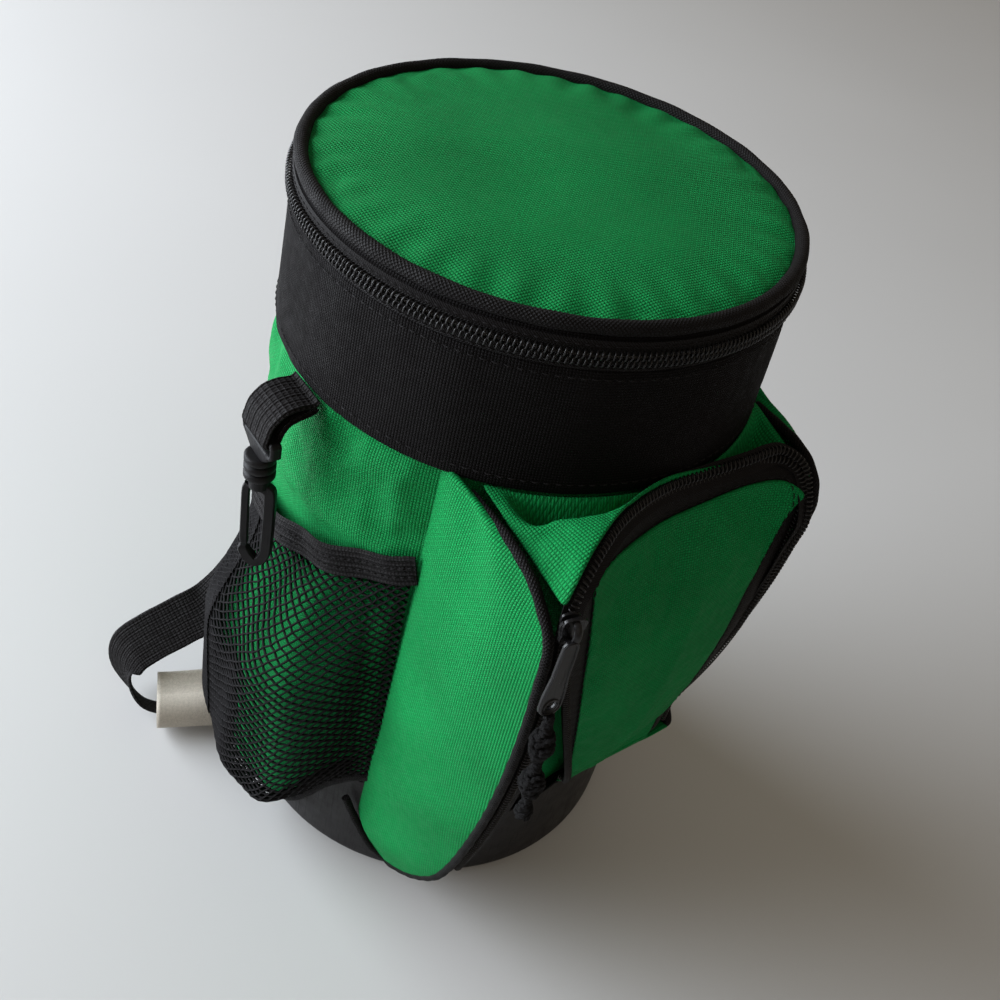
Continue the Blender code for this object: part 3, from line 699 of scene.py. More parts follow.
def collar():
    """Black collar with its folded lower hem and two stitch rows."""
    top = COLLAR_HIGH.z - 0.0002
    low = COLLAR_LOW.z
    inner = COLLAR_R - 0.0010
    outline = [(inner, top), (COLLAR_R - 0.0002, top - 0.0006), (COLLAR_R - 0.0001, top - 0.003)]
    outline += [(COLLAR_R, low + (top - low) * t) for t in (0.8, 0.65, 0.5, 0.35, 0.2)]
    outline += [(COLLAR_R + 0.0002, low + 0.0030), (COLLAR_R + 0.0001, low + 0.0008)]
    outline += [(COLLAR_R - 0.0006, low), (inner, low + 0.0010), (inner, (low + top) / 2), (inner, top)]
    degrees = np.arange(220) * 360 / 220
    rows = []
    for radius, height in outline:
        level = math.sin(math.pi * np.clip((height - low) / (top - low), 0, 1))
        soft = 0.00035 * level * (np.sin(np.radians(degrees * 5)) + np.sin(np.radians(degrees * 13 + 60)))
        ripple = 0.0002 * np.sin(np.radians(degrees * 26)) * (1 - level)
        flare = (COLLAR_R - ZIP_R) * (0.8 - 1.8 * (height - low) / (top - low))
        rows.append(polar(degrees, radius + flare + soft + ripple * (radius > COLLAR_R - 0.0005), height))
    piece = grid_piece("collar_cloth", np.stack(rows), closed=True, flip=True, sharp=60)
    finish(piece, "black", "root", ["collar_band"])
    rows = []
    for height, radius in ((low + 0.0042, COLLAR_R + 0.0009), (top - 0.0030, ZIP_R + 0.0004)):
        seam = ring_path(radius, height)
        rows.append(stitches(seam, outward(seam)))
    built("collar_stitching", rows, "thread", "root")


def lid_zipper(side, name, body):
    """One half of the lid zipper: twill tape folded at the seam, and its wound coil row."""
    span = 180 - WEB_DEG
    seam = ZIP_Z + side * 0.0011
    path = ring_path(ZIP_R + 0.0006, seam, -span, span, 0.5)
    phase = 0.0 if side > 0 else math.pi
    row = coil(path, outward(path), phase, 0.0012)
    built(name + "_zip_coil_row", [row], "coil", body, [name + "_zip_coil"], 180)
    edge = ZIP_Z + side * (0.0046 if side < 0 else 0.0052)
    middle = (edge + ZIP_Z + side * 0.0006) / 2
    tape = ring_path(ZIP_R - 0.0006, middle, -span, span)
    across = np.broadcast_to(UPWARD, tape.shape)
    width = abs(edge - ZIP_Z - side * 0.0006)
    strip = sweep_mesh(tape, across, outward(tape), ribbon_section(width, 0.0008))
    seam_line = ring_path(ZIP_R - 0.0002, ZIP_Z + side * 0.0037, -span, span)
    built(name + "_zip_tape_cloth", [strip], "tape", body, [name + "_zip_tape"])
    built(name + "_zip_stitching", [stitches(seam_line, outward(seam_line), 0.0020, 0.0008)], "thread", body)


def lid():
    """Lid: zipper halves, woven piping, side band, crowned panel, padded liner and the hinge web."""
    lid_zipper(-1, "collar", "root")
    lid_zipper(1, "lid", "lid")
    circle_path = ring_path(RIM_R, RIM_Z)
    level = np.broadcast_to(UPWARD, circle_path.shape)
    angle = np.linspace(0, math.tau, len(circle_path), endpoint=False)
    swell = 1 + 0.03 * np.sin(angle * 17) + 0.03 * np.sin(angle * 29 + 1)
    cord = rod(circle_path, PIPING_R, level, 14, True, swell)
    built("lid_piping_cord", [cord], "bound", "lid", ["lid_piping"])
    low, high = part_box("lid_side_band")
    wide = ZIP_R - 0.0005
    narrow = RIM_R + 0.0010
    outline = [(narrow - 0.0012, high.z + 0.001), (narrow, high.z), (wide, low.z + 0.0003)]
    outline += [(wide - 0.0008, low.z - 0.0005), (wide - 0.0014, low.z + 0.0005)]
    outline += [(narrow - 0.0014, high.z + 0.001)]
    turned_piece("lid_band_cloth", outline, "black", "lid", ["lid_side_band"], flip=True)
    lid_panel()
    lid_lining()
    hinge_web()


def disc_points(radius, count):
    """A square grid of points pushed out to fill a disc."""
    line = np.linspace(-1, 1, count)
    u, v = np.meshgrid(line, line)
    return radius * u * np.sqrt(1 - v ** 2 / 2), radius * v * np.sqrt(1 - u ** 2 / 2)


def lid_panel():
    """Green top, slack enough to dip and ripple inside its piping."""
    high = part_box("lid_top_panel")[1]
    radius = high.x + 0.0012
    count = 58
    x, y = disc_points(radius, count)
    away = np.hypot(x, y) / radius
    crown = 0.0026 * (1 - away ** 2)
    ripple = 0.0007 * np.sin(x * 75 + y * 38) * np.cos(y * 62 - x * 20) * (1 - away ** 4)
    puckers = 0.0004 * np.sin(np.arctan2(y, x) * 34) * ease(away, 0.7, 0.95) * (1 - ease(away, 0.97, 1))
    height = high.z - 0.0034 + crown + ripple + puckers
    piece = grid_piece("lid_panel_cloth", np.stack([x, y, height], -1), uv=np.stack([x, y], -1))
    settle(piece, rim_of(count, count), 0.022, 2.0, 0.0022)
    finish(thicken(piece, CLOTH, -1, 1), "green", "lid", ["lid_top_panel"])


def lid_lining():
    """Padded silver liner under the lid, quilted by one round seam."""
    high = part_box("lid_liner")[1]
    radius = high.x - 0.0002
    share = np.linspace(0.002, 1, 40)
    puff = 0.0011 * np.abs(np.sin(share * math.pi * 2.0)) ** 0.6
    rows = []
    degrees = np.arange(140) * 360 / 140
    for level, rise in zip(share, puff):
        wrinkle = 0.00018 * np.sin(np.radians(degrees * 23)) * math.sin(level * math.pi * 2) ** 2
        wrinkle = wrinkle * ease(level, 0.4, 0.6)
        rows.append(polar(degrees, radius * level, high.z - 0.0008 - rise + wrinkle))
    piece = grid_piece("lid_liner_film", np.stack(rows), closed=True)
    finish(thicken(piece, 0.0006, -1), "silver", "lid", ["lid_liner"])


def hinge_web():
    """Fabric at the back that joins collar and lid."""
    start, end = 180 - WEB_DEG - 1.5, 180 + WEB_DEG + 1.5
    degrees = np.linspace(start, end, 60)
    heights = np.linspace(COLLAR_HIGH.z - 0.0030, ZIP_Z + 0.0062, 26)
    rows = []
    full = 0.0007
    for height in heights:
        bow = full * math.sin(math.pi * (height - heights[0]) / (heights[-1] - heights[0]))
        pucker = 0.00025 * np.sin(np.radians(degrees * 40)) * (bow / full)
        rows.append(polar(degrees, COLLAR_R + 0.0001 + bow + pucker, height))
    piece = grid_piece("lid_hinge_cloth", np.stack(rows))
    finish(thicken(piece, CLOTH, -1), "black", None, ["lid_hinge_web"])
    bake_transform(piece)


def lining():
    """Waterproof silver cup inside the bag, turned over the foam at the top."""
    low, high = (corner.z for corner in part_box("inner_liner"))
    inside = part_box("inner_liner")[1].x - 0.0004
    foam_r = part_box("wall_foam")[1].x
    columns = 160
    degrees = np.arange(columns) * 360 / columns
    outline = [(0.0005, low + 0.0006), (inside * 0.5, low + 0.0006), (inside, low + 0.0006)]
    outline += [(inside, low + 0.02), (inside, (low + high) / 2), (inside, high - 0.004)]
    outline = rounded(outline, 0.005, 4)
    outline += [(inside, high - 0.0004), (inside + 0.0012, high + 0.0003), (foam_r - 0.0004, high + 0.0004)]
    outline = subdivided(outline, 0.005)
    rows = []
    for radius, height in outline:
        wall = ease(height, low + 0.01, low + 0.03) * (1 - ease(height, high - 0.02, high - 0.004))
        crease = np.sin(np.radians(degrees * 9 + height * 1400))
        crease += 0.7 * np.sin(np.radians(degrees * 17) + height * 90)
        rows.append(polar(degrees, radius - 0.0007 * wall * np.maximum(0, crease), height))
    piece = grid_piece("inner_liner_film", np.stack(rows), closed=True)
    finish(thicken(piece, 0.0003, -1), "silver", "root", ["inner_liner"])


# ---------------------------------------------------------------- front pocket

def edge_y(edge, height):
    """Where the front edge of a pocket side stands at a height."""
    reach, middle = edge
    return -(reach - (height - middle) ** 2 / (2 * EDGE_R))


ARCH = smooth_path([
    (-0.0560, -0.1092, 0.2110), (-0.0500, -0.1058, 0.2200), (-0.0410, -0.1003, 0.2252),
    (-0.0260, -0.0927, 0.2268), (-0.0070, -0.0874, 0.2264), (0.0110, -0.0868, 0.2260),
    (0.0300, -0.0882, 0.2266), (0.0440, -0.0918, 0.2258), (0.0520, -0.0985, 0.2205),
    (0.0560, -0.1050, 0.2130),
], 6)


def arch(x):
    """The pocket zipper's upper stretch at x."""
    return np.stack([x, np.interp(x, ARCH[:, 0], ARCH[:, 1]), np.interp(x, ARCH[:, 0], ARCH[:, 2])], -1)


def panel_outline(side):
    """Edge of a pocket side panel, where its piping runs, from the collar to the base."""
    left = side < 0
    x = side * POCKET_X - (0.0018 if left else 0.0)
    edge = LEFT_EDGE if left else RIGHT_EDGE
    tuck = 0.0 if left else 0.0072
    shoulder = [(-0.0625, 0), (-0.0730, 0.0002), (-0.0830, -0.0002)]
    shoulder += [(-0.0945 + tuck * 0.5, -0.0030), (-0.1020 + tuck * 0.8, -0.0085)]
    corners = [(x, y, POCKET_TOP + rise) for y, rise in shoulder]
    heights = [0.204, 0.185, 0.165, 0.140, 0.110, 0.080]
    corners += [(x, edge_y(edge, z) + tuck, z) for z in heights + [0.062] * left]
    if left:
        corners += [(x, -0.0920, 0.046), (x, -0.0800, 0.028), (x, -0.0670, 0.0150)]
        seam = ((-44, 0.0125), (-49, 0.019), (-54, 0.032), (-58, 0.044))
        corners += [tuple(polar(deg, 0.0862, z)) for deg, z in seam]
    else:
        corners += [(x, -0.0850, 0.064), (x, -0.0760, 0.0600), (x, -0.0630, 0.0590)]
    return smooth_path(corners, 6)


def side_panel(side, name):
    """Green side of the pocket, full and slightly creased, between the body seam and its piping."""
    rows, cols = 64, 26
    edge = panel_outline(side)
    last = len(edge) - (10 if side < 0 else 0)
    outer = resample(edge[:last], 0.0001)
    outer = outer[np.linspace(0, len(outer) - 1, rows).astype(int)]
    foot = (-54.0, 0.0836, 0.038) if side < 0 else (50.5, 0.0812, 0.0595)
    top = (side * 50.5, 0.0810, COLLAR_LOW.z + 0.001)
    reach = np.linspace(0, 1, rows)
    ends = [foot[2], top[2]]
    heights = np.interp(outer[:, 2], [outer[-1, 2], outer[0, 2]], ends)
    degrees, seam_r = (np.interp(heights, ends, [foot[k], top[k]]) for k in (0, 1))
    inner = polar(degrees, seam_r, heights)
    share = np.linspace(0, 1, cols)
    across = share[None, :, None]
    points = inner[:, None] * (1 - across) + outer[:, None] * across
    middle = np.sin(math.pi * share) ** 0.8
    full = np.sin(math.pi * np.clip(reach * 1.02, 0, 1)) ** 0.5 * ease(reach, -0.02, 0.22)
    points[..., 0] += side * 0.0045 * full[:, None] * middle[None]
    pleat = 0.0016 * np.sin(share * 10 + 0.8)[None] * np.exp(-(reach / 0.28) ** 2)[:, None]
    points[..., 0] += side * pleat * middle[None] * ease(reach, 0.02, 0.20)[:, None]
    crease = 0.0009 * np.sin(points[..., 2] * 150 + points[..., 1] * 60) * ease(reach, 0.35, 0.7)[:, None]
    points[..., 0] += side * crease * middle[None] * (1 - ease(reach, 0.9, 1.0))[:, None]
    piece = grid_piece(name + "_cloth", points, uv=points[..., 1:], flip=side > 0)
    settle(piece, rim_of(rows, cols), 0.03, 2.0, 0.0030)
    finish(thicken(piece, CLOTH, -1, 1), "green", "root", [name])


def piping(side, name):
    """Woven cord round a pocket side panel."""
    path = resample(panel_outline(side), 0.0012)
    swell = 1 + 0.05 * np.sin(np.arange(len(path)) * 0.9)
    facing = np.broadcast_to([side * 1.0, 0, 0], path.shape)
    built(name + "_cord", [rod(path, 0.00165, facing, 12, swell=swell)], "bound", "root", [name])


def outer_path():
    """Middle of the coil row that stays with the pocket: up the left leg, over the arch, down the right."""
    low = np.array([0.052, 0.060, 0.072, 0.085, 0.100, 0.120, 0.145, 0.170, 0.190, 0.203])
    drift = 0.0020 * np.clip((0.066 - low) / 0.014, 0, 1)
    left = np.stack([-0.0547 + drift, [edge_y(LEFT_EDGE, z) - 0.0006 for z in low], low], 1)
    high = np.array([0.204, 0.190, 0.165, 0.130, 0.100, 0.078])
    right = np.stack([0.0547 + 0 * high, [edge_y(RIGHT_EDGE, z) + 0.0050 for z in high], high], 1)
    top = arch(np.linspace(-0.0525, 0.0525, 16)) + np.array([0, 0, 0.0002])
    top[:, 1] += 0.0052 * ease(top[:, 0], 0.025, 0.0525)
    return resample(smooth_path([*left, *top, *right], 5), 0.0008)


def zip_normals(path):
    """Which way the pocket zipper faces: forward along its legs, up and forward over the arch."""
    rise = ease(path[:, 2], 0.206, 0.222)
    facing = np.stack([0.25 * np.sign(path[:, 0]) * (1 - rise), -1 + 0 * rise, 1.0 * rise], 1)
    return unit(facing)


def top_gusset():
    """Green cloth between the collar and the zipper's arch, folded in a valley near each corner."""
    rows, cols = 16, 66
    x = np.linspace(-0.0560, 0.0560, cols)
    front = arch(x * 0.975) + np.array([0, 0.0010, 0.0030])
    front[:, 1] += 0.0060 * ease(x, 0.020, 0.0560)
    front[:, 2] -= 0.0034 * ease(x, -0.010, 0.030)
    front[:, 0] = x * (1 - 0.02 * ease(x, 0.030, 0.056))
    back = np.stack([x, -np.sqrt(0.0835 ** 2 - x ** 2), np.full(cols, COLLAR_LOW.z - 0.0006)], 1)
    points = ruled(back, front, rows)
    crest = 0.45 + 0.55 * ease(x, -0.046, -0.020)
    depth = np.linspace(0, 1, rows)[:, None]
    hollow = np.sin(math.pi * np.clip(depth / crest[None], 0, 1)) ** 0.8
    points[..., 2] -= 0.0150 * hollow * (ease(x, -0.054, -0.043) * (1 - ease(x, 0.044, 0.056)))[None]
    piece = grid_piece("pocket_top_cloth", points, uv=points[..., :2])
    settle(piece, rim_of(rows, cols), 0.02, 0.6, 0.0016)
    finish(thicken(piece, 0.0007, -1, 1), "green", "root", ["pocket_top_gusset"])


def floor_cloth():
    """Bottom of the pocket: green up to the flap's edge on the right; on the left a stretch of black tape
    cloth that is painted shade.
    """
    pocket_bottom("pocket_floor_cloth", 0.62, 1.0, "green", ["pocket_floor"])
    # Painted shade: black tape cloth on the left stretch of the pocket's bottom stands for the shade there.
    pocket_bottom("pocket_floor_painted_shade", 0.0, 0.63, "tape")


def pocket_bottom(name, first, last, look, replaced=()):
    """One stretch of the pocket's bottom, by its shares of the width from the left."""
    cols, rows = 50, 12
    share = np.linspace(first, last, cols)
    x = -0.0560 + 0.1125 * share
    body = np.sqrt(0.0842 ** 2 - x ** 2)
    rise = np.minimum(1, share * 2)
    height = 0.016 + 0.048 * rise ** 0.7
    reach = np.maximum(body + 0.0022, 0.0868 * np.maximum(rise, 1e-6) ** 0.3)
    front = np.stack([x, -reach, height], 1)
    back = np.stack([x, -np.sqrt(0.0816 ** 2 - x ** 2), height - 0.0045], 1)
    points = ruled(back, front, rows)
    depth = np.linspace(0, 1, rows)[:, None]
    points[..., 2] -= 0.0012 * np.sin(math.pi * depth) * rise[None]
    points[..., 2] += 0.0006 * np.sin(share * 26)[None] * depth * rise[None]
    piece = grid_piece(name, points, flip=True)
    finish(thicken(piece, 0.0007, 0), look, "root", replaced)


def pocket_zipper():
    """Outer half of the pocket zipper with its tape."""
    path = outer_path()
    normal = zip_normals(path)
    row = coil(path, normal, math.pi, 0.0013)
    built("pocket_zip_coil_row", [row], "coil", "root", ["pocket_zip_coil"], 180)
    across, up = sides_of(path, normal)
    inward = -1.0 if across[0, 0] > 0 else 1.0
    middle = path - across * inward * 0.0010 - up * 0.0011
    strip = sweep_mesh(middle, across, up, ribbon_section(0.0074, 0.0006))
    replaced = ["pocket_zip_tape_left", "pocket_zip_tape_right"]
    built("pocket_zip_tape_cloth", [strip], "tape", "root", replaced)


def flap_point(across, up):
    """Flap surface as the frame's flap has it, blended from its four edges."""
    height = FLAP_Z + (FLAP_TOP - FLAP_Z) * up
    left_x = -FLAP_X + 0.0500 * (1 - up) ** 1.15
    near, far = 0.0880, 0.1062
    left_y = -near - (far - near) * np.maximum(up, 0) ** 0.4
    right_y = np.minimum(edge_y(RIGHT_EDGE, height), -near)
    left = np.stack([left_x, left_y, height], -1)
    right = np.stack([FLAP_X + 0 * height, right_y, height], -1)
    chord_y = -far + across * (edge_y(RIGHT_EDGE, FLAP_TOP) + far)
    x = -FLAP_X + 2 * FLAP_X * across
    upper = arch(x) - np.array([0, 0, 0.0024])
    chord = np.stack([x, chord_y, FLAP_TOP + 0 * across], -1)
    blend = across[..., None]
    return left * (1 - blend) + right * blend + (upper - chord) * (up ** 3)[..., None]


def border_left(up):
    """How much wider the flap's left border is than at its middle: narrow below, wide by the corner."""
    return np.interp(up, [0, 0.2, 0.45, 0.88, 1], [-0.046, -0.043, 0, 0.050, 0.050])


def border_right(up):
    """Width of the flap's right border, which shrinks towards the upper corner."""
    return np.interp(up, [0, 0.3, 0.7, 0.93, 1], [0.210, 0.165, 0.115, 0.048, 0.016])


def flap_loop(left, top, right, share, count=40):
    """Points round the flap's left, upper and right edges: fixed insets plus a share of the uneven border."""
    corner = 0.05
    crest = 1 - top
    far = 1 - top + 0.026 * share
    up = np.linspace(0, crest - corner, count)
    side = list(zip(left + border_left(up) * share, up))
    start = side[-1][0]
    turn = np.linspace(0, math.pi / 2, 7)[1:-1]
    bend = [(start + corner * (1 - math.cos(a)), crest - corner + corner * math.sin(a)) for a in turn]
    up = np.linspace(far - corner, 0, count)
    down = list(zip(1 - right - border_right(up) * share, up))
    end = down[0][0]
    over = np.linspace(start + corner, end - corner, count)
    over = [(across, crest + (far - crest) * ease(across, 0.2, 1.0)) for across in over]
    bend_down = [(end - corner * (1 - math.cos(a)), far - corner + corner * math.sin(a)) for a in turn[::-1]]
    across, up = np.array(side + bend + over + bend_down + down).T
    return flap_point(across, up)


def flap():
    """Front of the pocket: green panel, then its zipper, folded lower hem and the fold it turns on."""
    rows, cols = 52, 44
    left, top = FLAP_INSET
    level, share = np.meshgrid(np.linspace(0, 1, rows), np.linspace(0, 1, cols), indexing="ij")
    first = left + border_left(level)
    across = first + (1 - border_right(level) - first) * share
    up = level * (1 - top + 0.026 * ease(across, 0.2, 1.0))
    points = flap_point(across, up)
    inside = np.sin(math.pi * share)
    tall = np.sin(math.pi * np.clip(up / 0.95, 0, 1))
    ridge = np.exp(-((across - 0.30 - 0.42 * up) / 0.05) ** 2)
    ridge = ridge * ease(up, 0.08, 0.3) * (1 - ease(up, 0.55, 0.85))
    points[..., 1] -= 0.0016 * inside * tall + 0.0014 * ridge
    points[..., 1] += 0.0012 * np.exp(-((across - 0.62 - 0.25 * up) / 0.09) ** 2) * tall
    piece = grid_piece("flap_panel_cloth", points, uv=points[..., ::2])
    settle(piece, rim_of(rows, cols), 0.02, 0.8, 0.0022)
    finish(thicken(piece, CLOTH, 0, 1), "green", "pocket_flap", ["flap_panel"])
    flap_zipper()
    first, last = left + float(border_left(0)), 1 - float(border_right(0))
    low = flap_point(np.linspace(first, last, 30), np.full(30, 0.004))
    hem = rod(low, 0.0011, np.array([0, -1.0, 0]), 10, flat=0.0008)
    built("flap_hem", [hem], "green", "pocket_flap")
    flap_fold(low)


def flap_zipper():
    """The flap's coil row, wide tape and the stitches that hold the tape."""
    edge = flap_loop(0.004, 0.0, 0.003, 0.0)
    edge[:, 1] += 0.0030 * ease(edge[:, 0], 0.020, 0.050)
    edge = resample(edge, 0.0008)
    row = coil(edge, zip_normals(edge), 0, 0.0013)
    built("flap_zip_coil_row", [row], "coil", "pocket_flap", ["flap_zip_coil"], 180)
    bands = []
    for part, back in ((0.0, 0.0014), (0.16, 0.0008), (0.45, 0.0002), (0.75, 0.0004), (1.0, 0.0010)):
        loop = flap_loop(0.004 + 0.068 * part, 0.066 * part, 0.006 * part, part)
        turned = 0.0030 * ease(loop[:, 0], 0.020, 0.050) * (1 - part) ** 2
        loop[:, 1] += back + turned
        loop[:, 2] -= back * 0.5
        bands.append(loop)
    tape = grid_piece("flap_zip_tape_cloth", np.stack(bands))
    finish(thicken(tape, 0.0006, 0, 1), "tape", "pocket_flap", ["flap_zip_tape"])
    left, top = FLAP_INSET
    seam = flap_loop(left - 0.006, top - 0.008, -0.006, 1.0)
    rows = [stitches(seam + np.array([0, -0.0004, 0]), zip_normals(seam))]
    built("flap_stitching", rows, "thread", "pocket_flap")


def flap_fold(low):
    """Cloth between the pocket's bottom and the flap's hem."""
    x = low[:, 0]
    reach = np.maximum(np.sqrt(0.0842 ** 2 - x ** 2) + 0.0024, 0.0866)
    foot = np.stack([x, -reach, np.full(len(x), 0.0645)], 1)
    points = ruled(foot, low, 9)
    points[..., 1] -= 0.0008 * np.sin(math.pi * np.linspace(0, 1, 9)[:, None])
    piece = grid_piece("flap_hinge_cloth", points)
    finish(thicken(piece, 0.0006, 0), "green", None)
    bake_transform(piece)


# ---------------------------------------------------------------- sliders, pull tabs and cord

def plate(name, outline, hole, thickness, bevel, place, look, body, replaced=()):
    """Flat plate with a hole and rounded edges, in the XY plane of its place, its thickness along Z."""
    mesh = bpy.data.meshes.new(name)
    bm = bmesh.new()
    for loop in (outline, hole):
        points = [bm.verts.new((x, y, 0)) for x, y in loop]
        for first, second in zip(points, points[1:] + points[:1]):
            bm.edges.new((first, second))
    bmesh.ops.triangle_fill(bm, edges=bm.edges, use_beauty=True)
    bmesh.ops.recalc_face_normals(bm, faces=bm.faces)
    bm.to_mesh(mesh)
    bm.free()
    mesh.transform(place)
    piece = bpy.data.objects.new(name, mesh)
    bpy.context.scene.collection.objects.link(piece)
    solid = piece.modifiers.new("thickness", "SOLIDIFY")
    solid.thickness = thickness
    solid.offset = 0
    rounding = piece.modifiers.new("rounding", "BEVEL")
    rounding.width = bevel
    rounding.segments = 3
    rounding.limit_method = "ANGLE"
    rounding.angle_limit = math.radians(50)
    return finish(piece, look, body, replaced)


def place_at(origin, x_axis, y_axis):
    """Matrix with an origin and two axes; the third is square to them."""
    x = Vector(x_axis).normalized()
    z = x.cross(Vector(y_axis)).normalized()
    y = z.cross(x)
    matrix = Matrix((x, y, z)).transposed().to_4x4()
    matrix.translation = Vector(origin)
    return matrix


def moved(points, place):
    return np.array([place @ Vector(point) for point in points])


def slider(name, place, body, replaced):
    """Zipper slider: shouldered top plate with turned-down sides, back plate and the bridge over it."""
    shoulder = [(0.0016, 0.0050), (0.0034, 0.0042), (0.0037, 0.0020), (0.0030, -0.0008), (0.0025, -0.0046)]
    mirrored = [(-x, y) for x, y in shoulder]
    outline = smooth_path(mirrored + shoulder[::-1] + mirrored[:1], 4)[:-1]
    top = place @ Matrix.Translation((0, 0, 0.0016))
    back = place @ Matrix.Translation((0, 0, -0.0014))
    plate(name + "_top_plate", outline, [], 0.0010, 0.0003, top, "enamel", body, replaced)
    plate(name + "_back_plate", outline * 0.80, [], 0.0008, 0.0003, back, "enamel", body)
    parts = []
    lip = [(0.0033, 0.0034, 0.0012), (0.0034, 0.0018, 0.0006), (0.0027, -0.0010, 0.0006),
           (0.0023, -0.0040, 0.0010)]
    for side in (-1, 1):
        line = moved(smooth_path([(side * x, y, z) for x, y, z in lip], 4), place)
        parts.append(rod(line, 0.0007, np.array(place.col[2][:3]), 8))
    arched = [(0.0036, 0.0016), (0.0034, 0.0034), (0.0018, 0.0047), (-0.0012, 0.0048), (-0.0030, 0.0036),
              (-0.0032, 0.0018)]
    arched = moved(smooth_path([(0, y, z) for y, z in arched], 5), place)
    parts.append(rod(arched, 0.0009, np.array(place.col[0][:3]), 10, flat=0.0013))
    built(name + "_bridge", parts, "enamel", body)


def pull_tab(name, place, length, body, replaced):
    """Flat pull tab: eye at the top, tapered middle with a raised rim, and a round hole at the lower end."""
    lower = -length
    half = 0.0040
    tip = 0.0030
    side = [(-0.0026, 0.0004), (-0.0028, -0.0040), (-0.0030, lower * 0.45)]
    side += [(-half, lower * 0.72), (-half, lower + tip)]
    end = [(half * math.sin(a), lower + tip - tip * math.cos(a)) for a in np.linspace(-1.2, 1.2, 7)]
    outline = side + end + [(-x, y) for x, y in side[::-1]] + [(0.0016, 0.0016), (-0.0016, 0.0016)]
    eye = np.array([0, lower + 0.0036])
    hole = circle(0.0020, 20) + eye
    plate(name + "_plate", outline, hole, 0.0013, 0.0004, place, "enamel", body, replaced)
    rim = np.array([(x * 0.86, y * 0.985 - 0.0002, 0.0007) for x, y in outline])
    rim = resample(moved(rim, place), 0.0008, closed=True)
    normal = np.array(place.col[2][:3])
    ring = np.concatenate([circle(0.0024, 28) + eye, np.full((28, 1), 0.0007)], 1)
    parts = [rod(rim, 0.00042, normal, 6, True), rod(moved(ring, place), 0.0004, normal, 6, True)]
    built(name + "_rim", parts, "enamel", body)


def knotted_cord():
    """Cord tied through the pull tab: two knots of wound strands with a frayed tail."""
    tie = PIVOTS["puller_cord_swing"]
    lean = math.radians(4)
    along = np.array([0, -math.sin(lean), -math.cos(lean)])
    out = np.array([0, -math.cos(lean), math.sin(lean)])
    side = np.array([1.0, 0, 0])
    start = np.array([PULL_X - 0.0030, tie.y, tie.z + PULL_RISE]) - along * 0.0030
    length = 0.0475
    strands = 7
    upper, lower = 0.27, 0.66
    rng = np.random.default_rng(11)
    parts = []
    share = np.linspace(0, 1, 260)
    knots = np.exp(-((share - upper) / 0.10) ** 2) + 0.9 * np.exp(-((share - lower) / 0.10) ** 2)
    fray = ease(share, 0.84, 1.0)
    for strand in range(strands):
        turns = 5.5 + 1.3 * strand
        phase = strand * math.tau / strands
        reach = 0.0009 + 0.0026 * knots * (0.75 + 0.25 * math.sin(strand * 2.1)) + 0.0018 * fray
        angle = phase + share * turns * math.tau * (0.5 + 0.5 * (strand % 2))
        wobble = 0.0011 * knots * np.sin(share * (60 + 17 * strand) + phase)
        centre = start + along * (share * length)[:, None]
        path = centre + side * (reach * np.cos(angle))[:, None] + out * (reach * np.sin(angle))[:, None]
        path = path + along * wobble[:, None]
        bead = 1 + 0.28 * np.sin(share * 230 + phase)
        parts.append(rod(path, 1.0, out, 7, swell=0.00074 * (1 - 0.3 * fray) * bead))
    for middle in (upper, lower):
        for wrap in range(5):
            turn = np.linspace(0, math.tau, 56, endpoint=False)
            tilt = rng.uniform(-0.5, 0.5)
            reach = 0.0035 - 0.0004 * abs(wrap - 2) + 0.0003 * np.sin(turn * 4 + tilt * 9)
            centre = start + along * (length * (middle + (wrap - 2) * 0.034))
            ring = centre + side * (reach * np.cos(turn))[:, None] + out * (reach * np.sin(turn))[:, None]
            ring = ring + along * (0.0014 * np.sin(turn + tilt * 6) + 0.0006 * np.sin(turn * 3))[:, None]
            bead = 0.00080 * (1 + 0.25 * np.sin(turn * 12 + tilt))
            parts.append(rod(ring, 1.0, along, 8, closed=True, swell=bead))
    built("knotted_cord", parts, "cord", "puller_cord", ["puller_cord"], 180)


def pocket_slider():
    """Slider on the pocket zipper's left leg, with its pull tab."""
    height = (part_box("pocket_slider")[0].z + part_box("pocket_slider")[1].z) / 2
    front = edge_y(LEFT_EDGE, height) - 0.0008
    place = place_at((PULL_X + 0.0026, front - 0.0006, height + PULL_RISE), (1, -0.25, 0), (0, 0, 1))
    place = place @ Matrix.Rotation(math.radians(-6), 4, "Z")
    slider("pocket_slider", place, "pocket_slider", ["pocket_slider"])
    hinge = PIVOTS["pocket_puller_swing"]
    lean = math.radians(5)
    up = (0.11, math.sin(lean), math.cos(lean))
    tab = place_at((PULL_X, hinge.y + 0.0014, hinge.z + PULL_RISE), (1, -0.08, -0.11), up)
    pull_tab("pocket_puller", tab, 0.0265, "pocket_puller", ["pocket_puller"])


def lid_slider():
    """Slider of the lid zipper with its pull tab."""
    centre = polar(SLIDER_DEG, ZIP_R + 0.0006, ZIP_Z)
    around = polar(SLIDER_DEG + 90, 1.0, 0.0)
    place = place_at(centre, (0, 0, -1), around)
    slider("lid_slider", place, "lid_slider", ["lid_slider"])
    hinge = PIVOTS["lid_puller_swing"]
    tab = place_at(hinge, around, (0, 0, 1))
    pull_tab("lid_puller", tab, 0.0280, "lid_puller", ["lid_puller"])


# ---------------------------------------------------------------- side pocket

def mesh_share(degrees):
    """How far round the side pocket an angle lies, from 0 at its front seam to 1 at its rear one."""
    first, last = MESH_DEG
    return np.clip((degrees - first) / (last - first), 0, 1)


def mesh_top(degrees):
    """Upper edge of the side pocket's net, which falls towards the back."""
    return MESH_TOP - 0.0360 * mesh_share(degrees) ** 0.9


